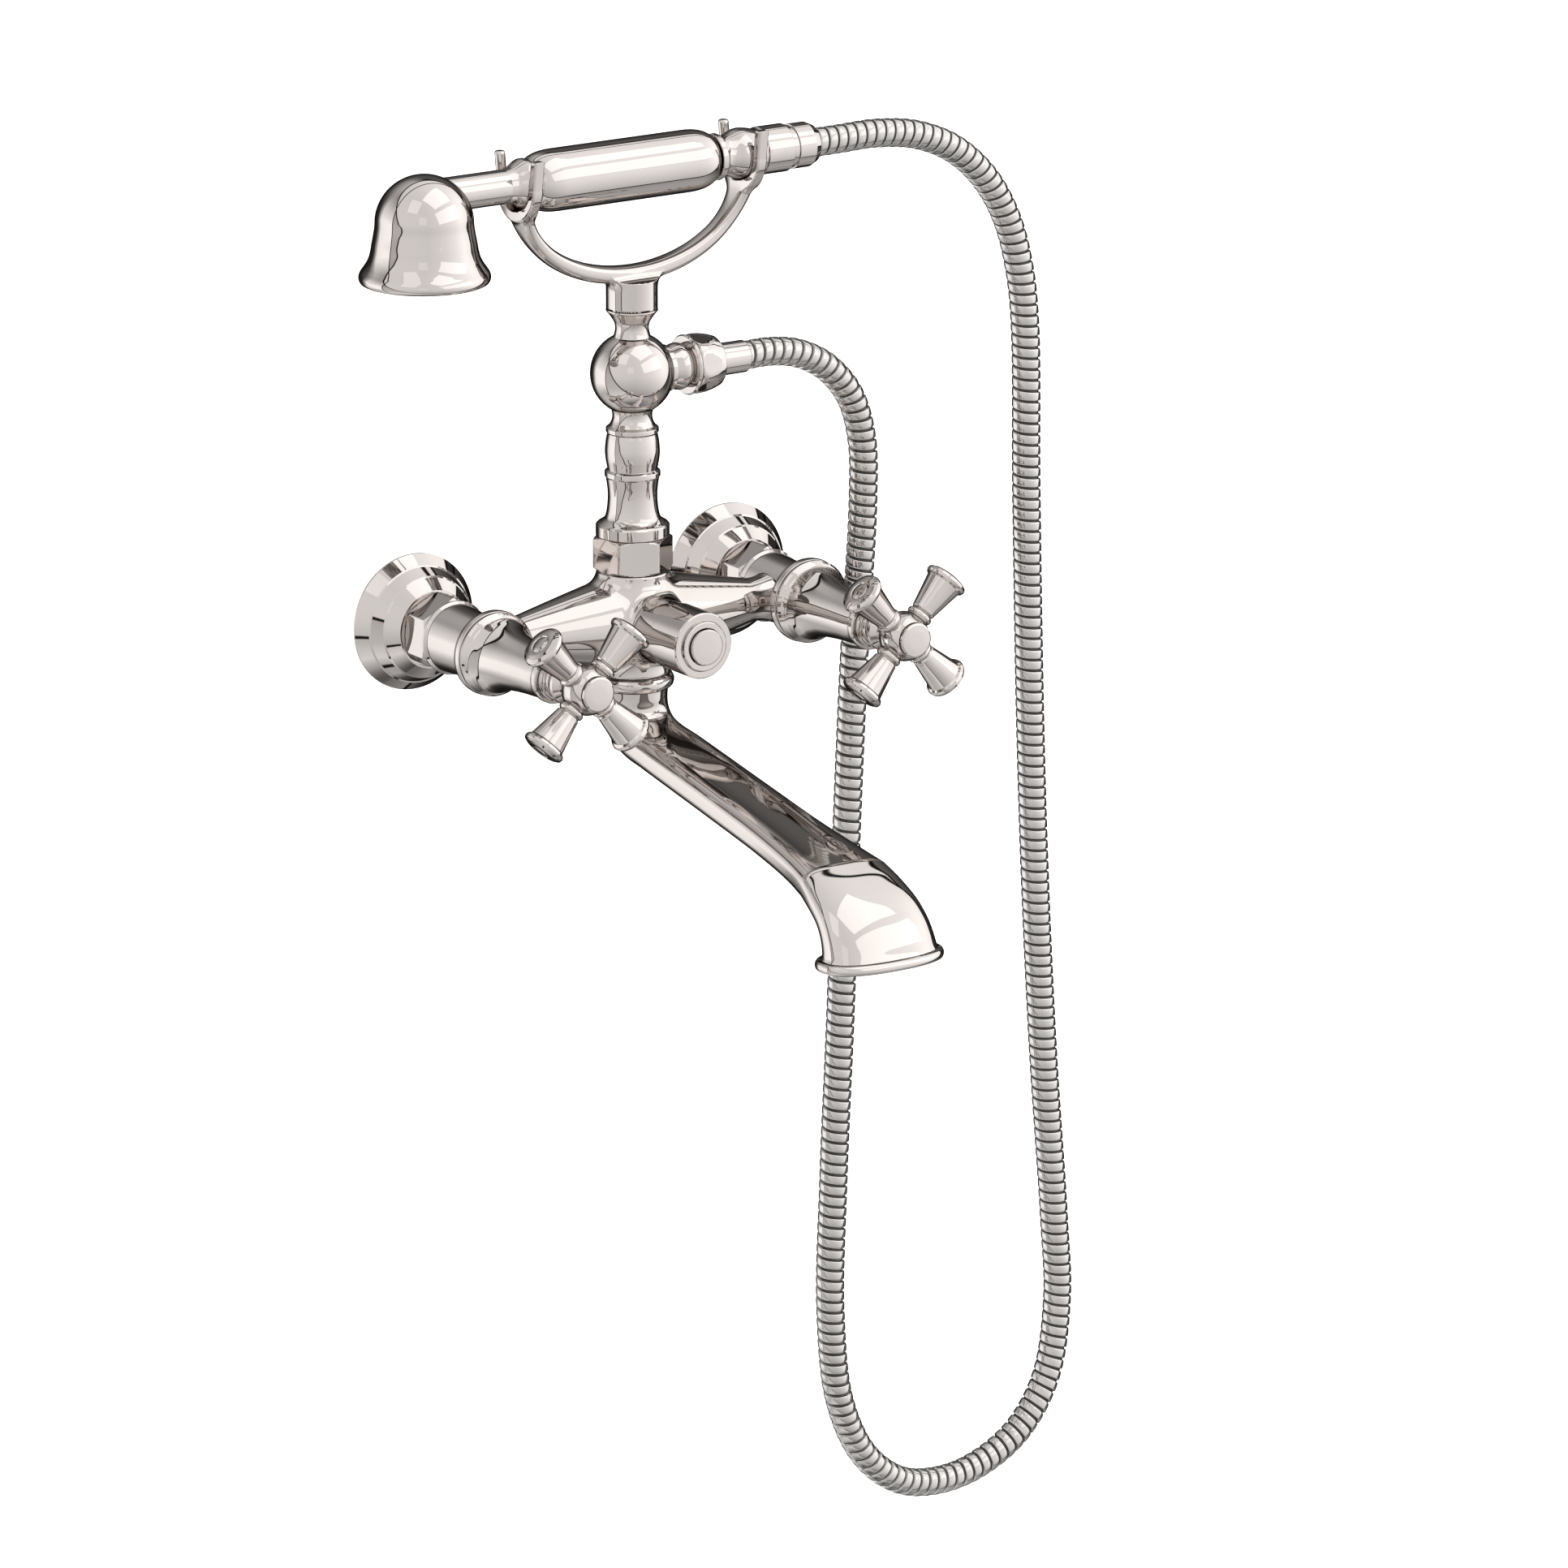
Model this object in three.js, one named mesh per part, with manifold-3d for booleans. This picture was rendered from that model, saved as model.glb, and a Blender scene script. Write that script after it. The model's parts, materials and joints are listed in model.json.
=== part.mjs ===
// A wall mounted bath and shower mixer: two cross handle valves, a swivelling bath spout,
// a riser with a ball tee, and a hand shower that lies in a bow shaped cradle.
// Units are millimetres. The wall is the plane y = 0, the mixer stands out along -Y, +Z is up,
// and the origin is on the wall, midway between the two inlets.
import * as THREE from "three";
import { ParametricGeometry } from "three/addons/geometries/ParametricGeometry.js";
import { mergeVertices } from "three/addons/utils/BufferGeometryUtils.js";
import Module from "manifold-3d";

const wasm = await Module();
wasm.setup();

// Driving dimensions
const INLET_SPREAD = 203.2; // between the two valve axes
const RISER_OUT = 62.8; // from the wall to the riser axis
const VALVE_X = INLET_SPREAD / 2;
const GAP = 0.3; // left between touching pieces
const FLANGE_R = 37.8; // wall flange
const NUT_R = 21.5; // union nuts, across corners / 2
const BARREL_R = 17.2; // valve barrel at its narrow end
const RING_OUT = 79; // from the wall to the valve barrel's end ring
const HANDLE_OUT = 174.5; // from the wall to the plane of the handle's arms
const HUB_R = 13.7;
const KNOB_R = 18.3; // diverter knob
const KNOB_SEAM = 107; // from the wall to the knob's back edge
const KNOB_FACE = 132.5; // from the wall to the knob's front rim
const BALL_R = 22.8; // ball tee
const BALL_Z = 137;
const HANDSET_Z = 249.5; // axis of the hand shower, parallel to X
const FORK_X = 71.5; // cradle forks, each side of the riser
const BELL_X = -131; // axis of the shower head
const HOSE_R = 8;
const BOSS_R = 19.8; // vertical boss of the mixer body
const BOSS_TOP = 28;
const SPOUT_TOP = -37.5; // upper end of the swivelling spout
const SPOUT_WALL = 2.4;
const GRIP_R = 17; // hand shower handle
const GRIP_LEFT = 60; // how far the handle reaches to each side of the riser
const GRIP_RIGHT = 51;
const TUBE_R = 9.4; // neck tube of the hand shower
const SADDLE_R = 14.4; // hollow of the cradle forks
const WATERWAY_R = 7; // bores that carry the water
const BOLT_R = 2.2; // small screws
const HIDDEN = 8; // sides of the turned pieces inside
const COARSE = 16; // sides of most turned pieces
const FINE = 20; // sides of the large ones

const NICKEL = { color: 0xcdc5be, roughness: 0.08, metalness: 1 };
const BRASS = { color: 0xb08d4a, roughness: 0.35, metalness: 1 };
const STEEL = { color: 0x9a9a9a, roughness: 0.4, metalness: 1 };
const RUBBER = { color: 0x1c1c1c, roughness: 0.8, metalness: 0 };

// Signed area of a closed outline, positive when it runs anticlockwise.
function area(points) {
  return points.reduce((sum, [x, y], i) => {
    const [u, v] = points[(i + 1) % points.length];
    return sum + (x * v - u * y) / 2;
  }, 0);
}

// A turned piece about +Y from an outline of [radius, height] points, solid or with a bore.
function turned(outline, sides = COARSE) {
  const points = area(outline) > 0 ? [...outline] : [...outline].reverse();
  const ring = points.map(([r, h]) => new THREE.Vector2(r, h));
  ring.push(ring[0].clone());
  return new THREE.LatheGeometry(ring, sides);
}

// A plain round bar from one height to another.
function bar(radius, low, high, sides = COARSE) {
  return turned([[0, low], [radius, low], [radius, high], [0, high]], sides);
}

// A plain round tube from one height to another.
function tube(bore, radius, low, high, sides = HIDDEN) {
  return turned([[bore, low], [radius, low], [radius, high], [bore, high]], sides);
}

// Turned pieces are made about +Y: these lay their axis along -Y (out of the wall), +Z or +X.
const outward = (geometry) => geometry.rotateX(Math.PI);
const upward = (geometry) => geometry.rotateX(Math.PI / 2);
const sideways = (geometry) => geometry.rotateZ(-Math.PI / 2);

function solid(geometry) {
  const bare = geometry.clone();
  bare.deleteAttribute("normal");
  bare.deleteAttribute("uv");
  const merged = mergeVertices(bare, 1e-4);
  return new wasm.Manifold(new wasm.Mesh({
    numProp: 3,
    vertProperties: new Float32Array(merged.attributes.position.array),
    triVerts: new Uint32Array(merged.index.array),
  }));
}

function shell(made) {
  const mesh = made.getMesh();
  const geometry = new THREE.BufferGeometry();
  geometry.setAttribute("position", new THREE.BufferAttribute(mesh.vertProperties, 3));
  geometry.setIndex(new THREE.BufferAttribute(mesh.triVerts, 1));
  return geometry;
}

const joined = (first, ...rest) =>
  shell(rest.reduce((sum, piece) => sum.add(solid(piece)), solid(first)));
const cut = (first, ...rest) =>
  shell(rest.reduce((left, piece) => left.subtract(solid(piece)), solid(first)));
const common = (first, second) => shell(solid(first).intersect(solid(second)));

// A flat outline in the XY plane, extruded from z = low to z = high.
function plate(points, low, high) {
  const outline = new THREE.Shape(points.map(([x, y]) => new THREE.Vector2(x, y)));
  return new THREE.ExtrudeGeometry(outline, { depth: high - low, bevelEnabled: false })
    .translate(0, 0, low);
}

// Points on an arc about a centre, from one angle to another, ends included.
function arc(cx, cy, radius, from, to, steps) {
  return Array.from({ length: steps + 1 }, (_, i) => {
    const a = from + ((to - from) * i) / steps;
    return [cx + radius * Math.cos(a), cy + radius * Math.sin(a)];
  });
}

// A round bar of a few sides swept through a list of points.
function swept(points, radius, sides, steps) {
  const last = (Math.PI * 2 * (sides - 1)) / sides;
  const section = new THREE.Shape(arc(0, 0, radius, 0, last, sides - 1)
    .map(([x, y]) => new THREE.Vector2(x, y)));
  const extrudePath = new THREE.CatmullRomCurve3(points, false, "centripetal");
  return new THREE.ExtrudeGeometry(section, { steps, bevelEnabled: false, extrudePath });
}

// A hexagon nut about +Y with turned ends, and the bore outline cut out of it.
function hexNut(corner, low, high, bore, cornerAngle, chamfer = 1.6) {
  const points = arc(0, 0, corner, cornerAngle, cornerAngle + (Math.PI * 5) / 3, 5);
  const prism = plate(points, low, high).rotateX(-Math.PI / 2);
  const flat = corner * Math.cos(Math.PI / 6);
  const turnedEnds = turned([[0, low], [flat, low], [corner, low + chamfer],
    [corner, high - chamfer], [flat, high], [0, high]]);
  return cut(common(prism, turnedEnds), turned(bore));
}

const model = new THREE.Group();

function add(name, geometry, finish = NICKEL, parent = model) {
  const mesh = new THREE.Mesh(geometry, new THREE.MeshStandardMaterial(finish));
  mesh.name = name;
  parent.add(mesh);
  return mesh;
}

// ---- Valves: profiles are [radius, distance from the wall] ----

const UNION_R = 12.6; // supply tail
const SPIGOT_R = 15.6; // threaded spigots inside the union nuts
const NUT_LOW = 22.6;
const NUT_HIGH = 41.5;
const NUT_LIP = 30.4; // where the nut's lip ends and its thread starts
const BORE_R = 9; // waterway in the barrel

const FLANGE = [[FLANGE_R, 0], [FLANGE_R, 1], [32.6, 7.8], [31.7, 8.2], [28.3, 15.4],
  [27.5, 16], [21.4, 22.2], [UNION_R + GAP, 22.2], [UNION_R + GAP, 20.2], [19.6, 20.2],
  [25.5, 14.4], [29.4, 6.8], [34.3, 0]];
const UNION = [[7.5, -14], [10.5, -14], [10.5, 1], [UNION_R, 2], [UNION_R, NUT_LIP + GAP],
  [SPIGOT_R, NUT_LIP + GAP], [SPIGOT_R, 33.8], [7.5, 33.8]];
const BARREL = [[BORE_R, 36.2], [SPIGOT_R, 36.2], [SPIGOT_R, 41.8], [20.4, 41.8],
  [20.4, 43.8], [18.6, 44.8], [17.8, 60], [BARREL_R, 75], [22.6, RING_OUT - 0.4],
  [23.5, RING_OUT + 1.4], [23.5, RING_OUT + 4.6], [13.2, RING_OUT + 4.6], [13.2, 72], [BORE_R, 72]];
const BONNET_LOW = RING_OUT + 4.6 + GAP;
const BONNET = [[13.2, BONNET_LOW], [23, BONNET_LOW], [23, 86.8], [20.6, 88.6],
  [17.6, 95.5], [15.4, 106], [14.1, 120], [13.3, 140], [14.2, 142], [14.2, 145],
  [9.4, 145], [9.4, 92], [13.2, 88]];
const CARTRIDGE = [[4.4, 60], [8.6, 60], [8.6, 72.3], [12.8, 72.3], [12.8, 87.4],
  [9, 91.6], [9, 145.4], [11.8, 145.4], [11.8, 149.2], [9.6, 149.2], [9.6, 153.4], [4.4, 153.4]];
const STEM_R = 4;

function handleArm() {
  return turned([[0, HUB_R + GAP], [6.4, HUB_R + GAP], [7.2, 15.2], [6, 16.6], [10, 36.6],
    [12, 37.6], [11.6, 39.6], [7.6, 41.6], [0, 42.2]], HIDDEN + 2);
}

function hub() {
  const sphere = arc(0, HANDLE_OUT, HUB_R, -0.98, 0.78, 6);
  const front = sphere[sphere.length - 1][1];
  return outward(turned([[STEM_R + GAP, 155], [11.2, 155], [11.8, 158.6], [8, 161.6],
    ...sphere, [4.6, front], [4.6, 176], [STEM_R + GAP, 176]]));
}

function valve(side, x) {
  const group = new THREE.Group();
  group.position.x = x;
  model.add(group);
  const part = (name, geometry, finish) => add(side + name, geometry, finish, group);
  part("_wall_flange", outward(turned(FLANGE, FINE)));
  part("_supply_union", outward(turned(UNION)), BRASS);
  part("_union_washer", outward(tube(9, 15.2, 34.1, 35.9)), RUBBER);
  const bore = [[0, NUT_LOW - 1], [13.1, NUT_LOW - 1], [13.1, NUT_LIP], [16, NUT_LIP],
    [16, NUT_HIGH + 1], [0, NUT_HIGH + 1]];
  part("_union_nut", outward(hexNut(NUT_R, NUT_LOW, NUT_HIGH, bore, Math.PI * 0.15)));
  const port = sideways(bar(WATERWAY_R, 4, 26, HIDDEN)).rotateY(x > 0 ? Math.PI : 0)
    .translate(0, -RISER_OUT, 0);
  part("_valve_barrel", cut(outward(turned(BARREL, FINE)), port));
  part("_bonnet", outward(turned(BONNET, FINE)));
  part("_cartridge", outward(turned(CARTRIDGE, HIDDEN)), BRASS);
  part("_stem", outward(bar(STEM_R, 100, 175, HIDDEN)), BRASS);
  part("_handle_hub", hub());
  ["a", "b", "c", "d"].forEach((letter, i) => {
    const arm = part("_handle_arm_" + letter, handleArm().rotateZ(-Math.PI / 2));
    arm.position.y = -HANDLE_OUT;
    arm.rotation.y = (-(2 * i + 1) * Math.PI) / 4;
  });
  part("_handle_screw", outward(bar(3.4, 176.3, 183, HIDDEN)), STEEL);
  part("_handle_cap", outward(turned([[0, 184.6], [9.6, 184.6], [9.6, 186], [8.8, 186.7], [0, 187.2]])));
}

// ---- Mixer body: arms along X, a boss along Z and the diverter housing along -Y ----

const ARM_END = 86;
const HOUSING_R = 17.4; // diverter housing
const CHAMBER_R = 11.4; // bore the diverter spool slides in

function arm() {
  return turned([[0, -2], [28.6, 0], [24.1, 20], [18.3, 46], [12.6, 71], [12.2, 76],
    [12.8, 80], [13.8, ARM_END], [0, ARM_END]]);
}

function mixerBody() {
  const centre = [0, -RISER_OUT, 0];
  const boss = turned([[0, -29], [19, -29], [20.6, -26], [20.6, -19], [BOSS_R, -12], [BOSS_R, BOSS_TOP],
    [16.9, BOSS_TOP], [16.9, 36], [0, 36]]);
  const housing = bar(HOUSING_R, 0, KNOB_SEAM - GAP - RISER_OUT);
  const outside = joined(sideways(arm()).translate(...centre),
    sideways(arm()).rotateZ(Math.PI).translate(...centre),
    upward(boss).translate(...centre), outward(housing).translate(...centre));
  const barrels = [-VALVE_X, VALVE_X].map((x) =>
    outward(bar(BARREL_R + 1.6, 40, 90, FINE)).translate(x, 0, 0));
  const waterways = [sideways(bar(WATERWAY_R, -90, 90, HIDDEN)), upward(bar(BORE_R, -32, 40, HIDDEN)),
    outward(bar(CHAMBER_R, 0, 60))].map((way) => way.translate(...centre));
  return cut(outside, ...barrels, ...waterways);
}

// ---- Diverter: profiles are [radius, distance from the wall] ----

const ROD_R = 4;
const STEP_FACE = KNOB_FACE + 1.8;

function springCoil(radius, wire, low, high, turns) {
  const points = Array.from({ length: turns * 10 + 1 }, (_, i) => {
    const a = (i * Math.PI) / 5;
    const along = low + ((high - low) * i) / (turns * 10);
    return new THREE.Vector3(radius * Math.cos(a), -along, radius * Math.sin(a));
  });
  return swept(points, wire, 4, turns * 10);
}

function diverter() {
  add("diverter_gland", outward(tube(ROD_R + GAP, 11, 96, 106.2)), BRASS);
  add("diverter_spring", springCoil(7, 0.7, 85.2, 94.8, 3), STEEL);
  add("diverter_spool", outward(turned([[0, 72], [10.4, 72], [10.4, 76], [ROD_R, 77],
    [ROD_R, 128], [0, 128]], HIDDEN)), BRASS);
  add("diverter_knob", outward(turned([[15.8, KNOB_SEAM], [KNOB_R, KNOB_SEAM],
    [KNOB_R, KNOB_FACE - 1], [KNOB_R - 0.9, KNOB_FACE], [13.8, KNOB_FACE], [13.5, STEP_FACE - 0.3],
    [13.1, STEP_FACE], [10.3, STEP_FACE], [10.3, 131], [ROD_R + 0.3, 131], [ROD_R + 0.3, 112],
    [8, 112], [8, 127.4], [15.8, 127.4]], FINE)));
  add("diverter_button", outward(turned([[0, 131.3], [9.9, 131.3], [9.9, KNOB_FACE + 3.6],
    [9.3, KNOB_FACE + 4.1], [0, KNOB_FACE + 4.3]])));
}

// ---- Spout: a hollow oval arm that swivels about the riser axis ----

// Stations from the collar to the outlet lip. Each is the distance forward of the riser, the height,
// the path's angle below level in degrees, the half width, the half depth and the squareness.
const SPOUT_STATIONS = [
  [0, SPOUT_TOP, 90, 19, 19, 2],
  [0, -43, 90, 18.6, 18.4, 2],
  [1.5, -51, 74, 18.8, 16.4, 2.1],
  [7, -58, 45, 19.4, 14, 2.3],
  [18, -63.4, 18, 20.2, 12, 2.5],
  [36, -67.3, 10.6, 20.8, 10.8, 2.7],
  [100, -79.2, 10.6, 21.2, 10.4, 2.8],
  [150, -88.6, 10.6, 22, 10.2, 2.8],
  [185, -95.3, 11.5, 25.2, 10.4, 2.7],
  [205, -100, 17, 28, 11, 2.6],
  [221, -107, 32, 30.4, 12.4, 2.5],
  [231.5, -116, 52, 32, 14.2, 2.4],
  [236.5, -124, 72, 33, 15.8, 2.4],
  [238, -129.4, 84, 33.6, 16.8, 2.4],
  [238.2, -131.2, 90, 36, 19.2, 2.4],
  [238.2, -133.6, 90, 37.2, 20.4, 2.4],
  [238.2, -136, 90, 36.6, 19.8, 2.4],
];
const LIP_STATIONS = 3; // the last ones, which only the outside follows
const MOUTH = { halfWidth: 34, halfDepth: 17.2 };

function spoutPoint(station, turn, thinner, target) {
  const [forward, z, fall, halfWidth, halfDepth, power] = station;
  const a = turn * Math.PI * 2;
  const shape = (value) => Math.sign(value) * Math.abs(value) ** (2 / power);
  const across = shape(Math.cos(a)) * (halfWidth - thinner);
  const up = shape(Math.sin(a)) * (halfDepth - thinner);
  const slope = THREE.MathUtils.degToRad(fall);
  target.set(across, -RISER_OUT - forward - up * Math.sin(slope), z + up * Math.cos(slope));
}

function spout() {
  const inner = SPOUT_STATIONS.slice(0, -LIP_STATIONS);
  const [forward, z, fall, , , power] = SPOUT_STATIONS[SPOUT_STATIONS.length - 1];
  const mouth = [forward, z, fall, MOUTH.halfWidth, MOUTH.halfDepth, power];
  const back = [...inner, mouth].reverse();
  const rings = [...SPOUT_STATIONS.map((s) => [s, 0]), ...back.map((s) => [s, SPOUT_WALL])];
  const surface = (u, v, target) => {
    const index = Math.round(v * rings.length) % rings.length;
    spoutPoint(rings[index][0], u % 1, rings[index][1], target);
  };
  return new ParametricGeometry(surface, FINE, rings.length);
}

function spoutPieces() {
  const centre = [0, -RISER_OUT, 0];
  add("spout_collar", upward(turned([[14, -37.2], [20.6, -37.2], [22.2, -34.6], [22.2, -32],
    [20.8, -29.3], [14, -29.3]], FINE)).translate(...centre));
  add("spout_seal", upward(tube(9.4, 13.7, -34.6, -30)).translate(...centre), RUBBER);
  add("spout", spout());
}

// ---- Riser: profiles are [radius, height above the valve axes] ----

function riserOutline() {
  const ball = arc(0, BALL_Z, BALL_R, -1.02, 1.12, 8);
  return [[0, 38.1], [16.6, 38.1], [16.6, 39.7], [14.2, 39.7], [14.2, 47.5], [20.1, 47.5],
    [20.1, 53.4], [15, 57.6], [13.5, 68], [14.6, 80], [15.2, 80.8], [15.2, 82.6], [13.6, 84.4],
    [14.95, 94], [13.7, 103.8], [14.4, 105.2], [14.4, 106.6], [11.1, 111.6], [10.9, 114.2],
    ...ball, [9.25, 162], [12.4, 169.8], [14, 172], [14, 173], [0, 173]];
}

function riserColumn() {
  const column = upward(turned(riserOutline()));
  const stub = sideways(turned([[0, 0], [12.4, 0], [12.4, 33.4], [16.8, 33.4], [16.8, 36],
    [10.2, 36], [10.2, 46], [0, 46]])).translate(0, 0, BALL_Z);
  const waterways = [upward(bar(WATERWAY_R, 30, BALL_Z, HIDDEN)),
    sideways(bar(WATERWAY_R, -4, 60, HIDDEN)).translate(0, 0, BALL_Z)];
  return cut(joined(column, stub), ...waterways).translate(0, -RISER_OUT, 0);
}

function riserPieces() {
  const centre = [0, -RISER_OUT, 0];
  add("riser_washer", upward(tube(9.6, 15.8, 36.3, 37.8)).translate(...centre), RUBBER);
  const bore = [[0, 27], [17.2, 27], [17.2, 40], [14.5, 40], [14.5, 48], [0, 48]];
  add("riser_nut", upward(hexNut(22.2, BOSS_TOP + GAP, 47.2, bore, -Math.PI / 8))
    .translate(...centre));
  add("riser_column", riserColumn());
}

// ---- Cradle: a half elliptical bow with a two pronged fork at each end ----

const BOW_OUTER = { x: 75.9, z: 53.8, at: 241.5 };
const BOW_INNER = { x: 67.1, z: 44.6, at: 241.5 };
const BOW_TOP = 234;
const PRONG_TOP = 265.3;
const PRONG = 5; // thickness of the forks
const CRADLE_SCREW_Z = 178;

function ellipseArc({ x, z, at }, top, steps, clockwise) {
  const start = Math.asin((top - at) / z);
  return Array.from({ length: steps + 1 }, (_, i) => {
    const share = clockwise ? 1 - i / steps : i / steps;
    const a = Math.PI - start + (Math.PI + 2 * start) * share;
    return [x * Math.cos(a), at + z * Math.sin(a)];
  });
}

function cradleBow() {
  const outline = [...ellipseArc(BOW_OUTER, BOW_TOP, 26, false),
    ...ellipseArc(BOW_INNER, BOW_TOP, 22, true)];
  const bow = plate(outline, -5.6, 5.6).rotateX(Math.PI / 2);
  const stem = upward(bar(14, 173.3, 190.5));
  const rest = sideways(bar(SADDLE_R + PRONG + GAP, -100, 100, FINE)).translate(0, 0, HANDSET_Z);
  const screwHole = outward(bar(BOLT_R + 0.4, 6, 20, HIDDEN)).translate(0, 0, CRADLE_SCREW_Z);
  return cut(joined(bow, stem), rest, screwHole).translate(0, -RISER_OUT, 0);
}

// The fork's outline across the hand shower: x is the distance out from the wall side.
function fork() {
  const steps = 10;
  const inner = arc(0, 0, SADDLE_R, Math.PI, 0, steps).map(([x, y]) => [x, -y]);
  const outer = arc(0, 0, SADDLE_R + PRONG, 0, Math.PI, steps).map(([x, y]) => [x, -y]);
  const top = PRONG_TOP - HANDSET_Z;
  const outline = [[-16.4, top], ...inner, [16.4, top], [21.6, top], ...outer, [-21.6, top]];
  return plate(outline, -3.3, 3.3).rotateX(Math.PI / 2).rotateZ(Math.PI / 2);
}

function cradle() {
  add("cradle_bow", cradleBow());
  [["left", -FORK_X], ["right", FORK_X]].forEach(([side, x]) => {
    add(side + "_cradle_fork", fork().translate(x, -RISER_OUT, HANDSET_Z));
  });
  add("cradle_screw", outward(bar(BOLT_R, 6.4, 13.4, HIDDEN))
    .translate(0, -RISER_OUT, CRADLE_SCREW_Z), STEEL);
}

// ---- Hand shower: profiles are [radius, x along its axis] ----

function bellOutline() {
  const dome = arc(0, 235.6, 26.6, Math.PI / 2, 0, 6);
  const inside = arc(0, 235.6, 24.4, 0, Math.PI / 2, 4);
  return [...dome, [28.3, 225], [29, 220], [31, 214.6], [35.1, 208.6], [35.1, 203.6],
    [32.4, 203.6], [32.2, 208.4], [26.6, 220], ...inside];
}

function sprayPlate() {
  const disc = upward(turned([[0, 205.2], [30.6, 205.2], [31.6, 206], [31.6, 207.8], [0, 207.8]], FINE));
  const rings = [[6, 11], [12, 22]];
  const holes = rings.flatMap(([count, radius]) =>
    arc(0, 0, radius, 0, (Math.PI * 2 * (count - 1)) / count, count - 1)
      .map(([x, y]) => upward(bar(1.4, 204, 209, 4)).translate(x, y, 0)));
  const screwHole = upward(bar(BOLT_R + 0.4, 204, 209, HIDDEN));
  return cut(disc, screwHole, ...holes);
}

function handset() {
  const axis = [0, -RISER_OUT, HANDSET_Z];
  const head = [BELL_X, -RISER_OUT, 0];
  const socket = sideways(bar(TUBE_R + GAP, 0, 40)).translate(0, 0, HANDSET_Z);
  add("handset_bell", cut(upward(turned(bellOutline(), FINE)), socket).translate(...head));
  add("spray_plate", sprayPlate().translate(...head));
  add("spray_plate_screw", upward(turned([[0, 204.2], [4.4, 204.2], [4.4, 204.9], [BOLT_R, 204.9],
    [BOLT_R, 214], [0, 214]], HIDDEN)).translate(...head), STEEL);
  add("handset_neck", sideways(turned([[6.4, -124], [TUBE_R, -124], [TUBE_R, -79],
    [13.2, -72.6], [14, -69], [11.6, -GRIP_LEFT - GAP], [6.4, -GRIP_LEFT - GAP]]))
    .translate(...axis));
  const end = [[10.6, 0], [13.4, -1.6], [15.8, -7], [GRIP_R, -16]];
  add("handset_grip", sideways(turned([[6.4, -GRIP_LEFT], ...end.map(([r, x]) => [r, -x - GRIP_LEFT]),
    ...end.map(([r, x]) => [r, x + GRIP_RIGHT]).reverse(), [6.4, GRIP_RIGHT]], FINE)).translate(...axis));
  add("handset_core", sideways(tube(4.6, 6.1, -121, 97)).translate(...axis), BRASS);
  add("handset_tail", sideways(turned([[6.4, 51.3], [12.8, 51.3], [12.8, 54.6], [10.8, 58],
    [11, 62.6], [14, 69], [12.2, 79], [13.2, 81], [13.2, 97.6], [6.4, 97.6]])).translate(...axis));
  add("handset_thread", sideways(tube(5, 9.4, 97.9, 107)).translate(...axis), BRASS);
}

// ---- Hose: a route of [x, z] points in the plane of the riser, from the ball tee to the handset ----

const HOSE_START = 72.3;
const HOSE_END = 116.3;
const HOSE_STEPS = 58;
const ROUTE = [[HOSE_START, BALL_Z], [90, 137.2], [108.7, 133.4], [127, 123], [142, 105],
  [149.6, 80], [150.4, 45], [145, -38], [140.4, -130], [136, -246], [131.5, -339], [129.6, -419],
  [136, -472], [153, -507], [178, -526.5], [206, -531], [233, -525.5], [258, -510.5],
  [276.5, -483], [284, -438], [281.5, -389], [273.4, -292], [267.4, -196], [263.3, -102],
  [259.6, 38], [258, 131], [254, 163], [245.4, 192], [230.6, 216.5], [210, 235], [185, 246],
  [158, 250], [135, 249.8], [HOSE_END, HANDSET_Z]];

function hose() {
  const route = ROUTE.map(([x, z]) => new THREE.Vector3(x, -RISER_OUT, z));
  return swept(route, HOSE_R, 8, HOSE_STEPS);
}

function hosePieces() {
  const low = [0, -RISER_OUT, BALL_Z];
  const high = [0, -RISER_OUT, HANDSET_Z];
  add("hose_lower_washer", sideways(tube(6.8, 9.8, 46.3, 47.8)).translate(...low), RUBBER);
  const bore = [[0, 36], [10.4, 36], [10.4, 49], [7.6, 49], [7.6, 56], [0, 56]];
  add("hose_lower_nut", sideways(hexNut(16.6, 36 + GAP, 52.6, bore, Math.PI / 8, 3.4))
    .translate(...low));
  add("hose_lower_ferrule", sideways(turned([[5, 48.1], [9.9, 48.1], [9.9, 48.7], [7.3, 48.7],
    [7.3, 52.9], [8.9, 52.9], [8.9, HOSE_START - GAP], [5, HOSE_START - GAP]]))
    .translate(...low));
  add("hose", hose());
  add("hose_upper_ferrule", sideways(turned([[9.7, 97.9], [12.4, 97.9], [12.2, 112], [10.4, HOSE_END - GAP],
    [5, HOSE_END - GAP], [5, 108], [9.7, 108]])).translate(...high));
}

valve("left", -VALVE_X);
valve("right", VALVE_X);
add("mixer_body", mixerBody());
diverter();
spoutPieces();
riserPieces();
cradle();
handset();
hosePieces();

export default model;
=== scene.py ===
"""Looks for a wall mounted bath and shower mixer in polished nickel.

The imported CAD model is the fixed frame. Each piece that shows is made again here as a finer mesh
around the frame's own axes. Outlines and places are in millimetres until make() turns them into metres.
"""
import json
import math

import bmesh
import bpy
import numpy as np
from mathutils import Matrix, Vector, kdtree


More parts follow.
